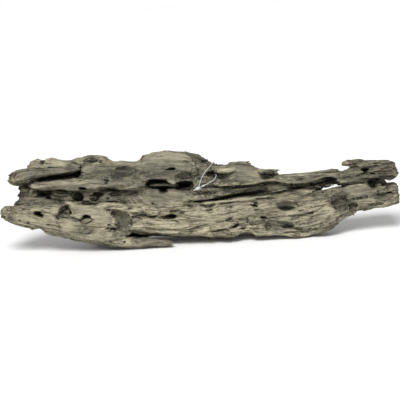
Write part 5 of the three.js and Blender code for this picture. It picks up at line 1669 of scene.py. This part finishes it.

# Where shade is painted dark into the deep gaps, holes and recesses
PAINTED_SHADE_PATCHES = listed(
    Patch,
    (17, 199, 3, 6, 0.6), (18.5, 188, 2, 3, 0.8), (23, 195, 8, 4, 0.48), (24, 184.4, 4, 2, 0.8),
    (39, 214.6, 4.4, 2, 0.9), (40, 183, 9, 2.6, 0.42), (41, 194.4, 5.4, 3, 0.9), (56, 195, 9, 3, 0.44),
    (58, 200.6, 8, 4, 0.26), (58, 216, 2.6, 3, 0.6), (60, 175.6, 25, 2.3, 1, 8),
    (64.2, 211.8, 9.5, 3.2, 0.58, 47), (66, 210, 6, 3, 0.5, 40), (67.4, 206.6, 3.4, 2, 0.95, 40),
    (70, 187, 12, 2, 0.3), (72, 168, 8, 4, 0.5), (72, 185.6, 9, 4, 0.28), (77, 170, 4.6, 4, 0.55),
    (77, 173.6, 5, 4, 0.9), (79, 200.4, 10, 2, 0.5, -9), (86.8, 220, 7, 4.4, 0.5),
    (88, 176.8, 9, 2.6, 0.48), (92, 202.8, 8, 2.2, 0.45, -8), (108, 171.6, 18, 5, 0.42),
    (112, 190.6, 17, 1.3, 0.9), (113.6, 213.6, 3.6, 2.2, 0.6, -20), (122, 175, 13, 4.4, 0.62),
    (122.5, 175.4, 11, 3, 0.6), (122.6, 226, 7, 3.4, 0.42), (136, 194.6, 9, 3, 0.44), (136, 235.6, 8, 3),
    (140, 171, 68, 8, 0.34), (147.6, 184.6, 3, 3.2, 0.8), (152, 197, 36, 6, 0.37),
    (152, 236.4, 16, 1.2, 0.9), (157, 181, 12, 2), (160, 200, 16, 3, 0.38), (160, 200.6, 15, 2.6, 0.32),
    (161, 187, 14, 1.2), (162, 173, 20, 6, 0.36), (163, 190.8, 5, 2.8), (170, 213, 9, 3, 0.34),
    (171, 216.4, 5.6, 2.6), (171.6, 169.2, 4, 1), (180, 236.6, 14, 1, 0.8), (184, 186.4, 10, 3.8, 0.9),
    (184, 188.4, 9, 1.6, 0.9), (212, 173, 5.4, 2), (215, 199.4, 22, 1.4, 0.9, 7), (236, 172, 16, 8, 0.26),
    (238, 186.6, 15, 1.2, 1, 2), (247, 193.6, 24, 2.6, 0.9, 6), (248, 183.4, 10, 2.6, 0.36),
    (287.5, 208, 8, 2.2), (298, 187.4, 10, 1.5, 0.9, 6), (312, 206, 9, 2.4, 0.3),
    (320, 183, 12, 1.6, 1, 13), (330, 180.4, 9, 4.2), (336, 182.6, 5, 1.6, 0.9, 10),
    (343, 195, 7, 3.6, 0.5), (352, 177, 16, 3, 0.42, 4), (362, 191, 18, 4, 0.35), (365, 170, 3.6, 1.8),
    (371.4, 181.4, 4.6, 2), (373, 180.2, 5, 1.3, 0.7), (378, 178.4, 18, 1.6, 0.7, 2),
    (382, 196.6, 9, 3.6, 0.5), (384, 196.4, 9, 3.6, 0.36), (391, 176.6, 7, 1.8, 0.7),
)

# Where the wood broke lately or is worn clean, and where light is painted on as pale on lit tops, ledges and
# lower edges
PALE_AND_LIT_PATCHES = listed(
    Patch,
    (5, 213, 6, 7, 0.8), (28, 226, 18, 4, 0.8, -14), (34, 209, 28, 3, 0.6, -4),
    (36, 221, 32, 8, 0.6, -12), (46.5, 196, 4, 1.8, 0.6), (50, 161, 16, 4.4, 0.7), (55, 212, 12, 5, 0.7),
    (56, 163.5, 10, 2.4, 0.7), (60, 183, 30, 3, 0.45, 3), (60.5, 193.6, 7.5, 2.8, 0.9),
    (65, 212, 5, 2, 0.6, 40), (68, 227, 9, 8, 0.6), (69, 203, 5, 2, 1, -24), (84, 159, 10, 4, 0.6),
    (87.4, 218.8, 7, 3.6), (93, 197.6, 4.4, 2.2, 0.9), (95, 217, 23, 13, 0.36, -14),
    (100, 238, 34, 7, 0.45, -8), (104, 157, 14, 3.4, 0.8), (112, 162, 20, 3.4, 0.6),
    (114.5, 194.6, 7, 2.2, 0.8), (116, 222, 5, 5), (122, 187.4, 16, 1.8, 0.6), (122, 211.6, 10, 2.4, 0.7),
    (128, 207, 33, 4.5, 0.9, -4), (128, 216, 6, 6, 0.5), (134, 163, 10, 3, 0.7), (135, 213, 14, 6, 0.8),
    (136, 211, 20, 3.6, 0.9, -8), (147, 211, 14, 3.4), (150, 227.6, 30, 3, 0.9, -3),
    (160, 153.6, 22, 3, 0.5), (168, 157, 22, 4, 0.55), (168, 226, 30, 10, 0.8, -2),
    (178, 206, 18, 5, 0.6), (184, 229.4, 12, 3, 0.9), (200, 199, 20, 3, 0.5), (206, 213, 52, 9, 0.7, 3),
    (215, 229, 56, 9, 0.8, 3), (226, 170, 11.5, 3, 1, 4), (228, 201, 44, 1.7, 1, 7),
    (230, 236.4, 66, 3.6, 0.8), (240, 208, 24, 5, 0.5, 6), (247, 230, 10, 4, 0.6), (248, 217, 12, 4, 0.6),
    (262, 168, 8, 3, 0.5), (262, 170, 8, 3, 0.6), (262, 182, 9, 3, 0.6), (264, 206, 9, 4, 0.6),
    (275, 236, 40, 4, 0.6), (280, 184, 12, 6, 0.8), (285, 199, 20, 4, 0.5, 6), (296, 211, 46, 6, 0.6, 10),
    (300, 174, 24, 2, 0.5, 3), (302, 217, 22, 8, 0.4, 12), (310, 190, 14, 3, 0.9),
    (311, 187.6, 8, 2.6, 0.9), (312, 188.6, 20, 2.6, 0.8), (332, 213, 10, 7, 0.5, 30),
    (344, 164, 10, 4, 0.8), (345, 168, 10, 5, 0.5), (356, 190, 12, 6, 0.3), (360, 182, 10, 2.6, 0.9),
    (366, 184, 12, 2.4, 0.7), (378, 204, 14, 4, 0.7), (385, 198, 7, 3, 0.6), (390, 200, 9, 7, 0.5),
)

# Where the wood is slate grey, and where shade is painted on as slate grey in recesses and under overhangs
SLATE_AND_SHADE_PATCHES = listed(
    Patch,
    (22, 195, 9, 4.6, 0.8), (24, 200, 14, 9, 0.3), (44, 183, 16, 3, 0.35), (54, 170, 26, 3.4, 0.75, 4),
    (57, 195, 10, 4, 0.7), (58, 201, 9, 5, 0.6), (60, 186, 20, 3, 0.4), (62.5, 213, 5, 4.4, 0.6),
    (70, 168, 8, 5, 0.6), (86, 231, 10, 4, 0.7), (91, 160, 7, 3.4), (104, 172, 14, 6, 0.7),
    (117, 177, 12, 4), (120, 195, 26, 4, 0.6), (122, 223, 9, 8, 0.65), (124, 171, 14, 6, 0.9),
    (136, 194, 10, 4, 0.65), (160, 174, 22, 7, 0.8), (165, 167, 24, 10, 0.35), (165, 188, 26, 5, 0.55),
    (184, 177, 12, 6, 0.7), (198, 172, 6, 7, 0.5), (199, 160, 9, 5, 0.8), (222, 177.4, 15, 3.8, 0.85),
    (236, 178, 18, 5, 0.5), (240, 172, 18, 10, 0.3), (250, 191, 60, 6, 0.6, 6), (269, 226, 6, 6, 0.8),
    (270, 176, 10, 4.5, 0.7), (272, 222, 8, 8, 0.7), (276, 213.6, 9, 4, 0.5), (280, 230, 10, 4, 0.9),
    (282, 205, 12, 5, 0.6), (286, 225, 10, 4, 0.5), (312, 224, 9, 3, 0.5), (326, 181, 16, 5, 0.7),
    (339, 202, 9, 11, 0.9, 20), (342, 194, 7, 5, 0.7), (352, 177, 14, 4, 0.5), (360, 200, 10, 4, 0.4),
    (368, 190, 12, 6, 0.35), (370, 177, 28, 3.6, 0.85, 4), (373.4, 184.6, 6, 3.6), (376, 193, 10, 4, 0.5),
    (384, 195, 10, 6, 0.6), (384, 198, 10, 4.6, 0.7),
)


def main() -> None:
    """Builds the pieces and the studio."""
    logging.basicConfig(level=logging.INFO, format="%(name)s: %(message)s")
    drawing = Drawing()
    Studio(drawing).build()
    wood = Driftwood(drawing, Grain(), Weather(), WeatheredWood())
    for assembly in (wood, TagLoop(drawing, MouldedNylon())):
        piece = assembly.build()
        assembly.dress(piece)
        log.info("%s has %d faces", piece.name, len(piece.data.polygons))


if __name__ == "__main__":
    main()
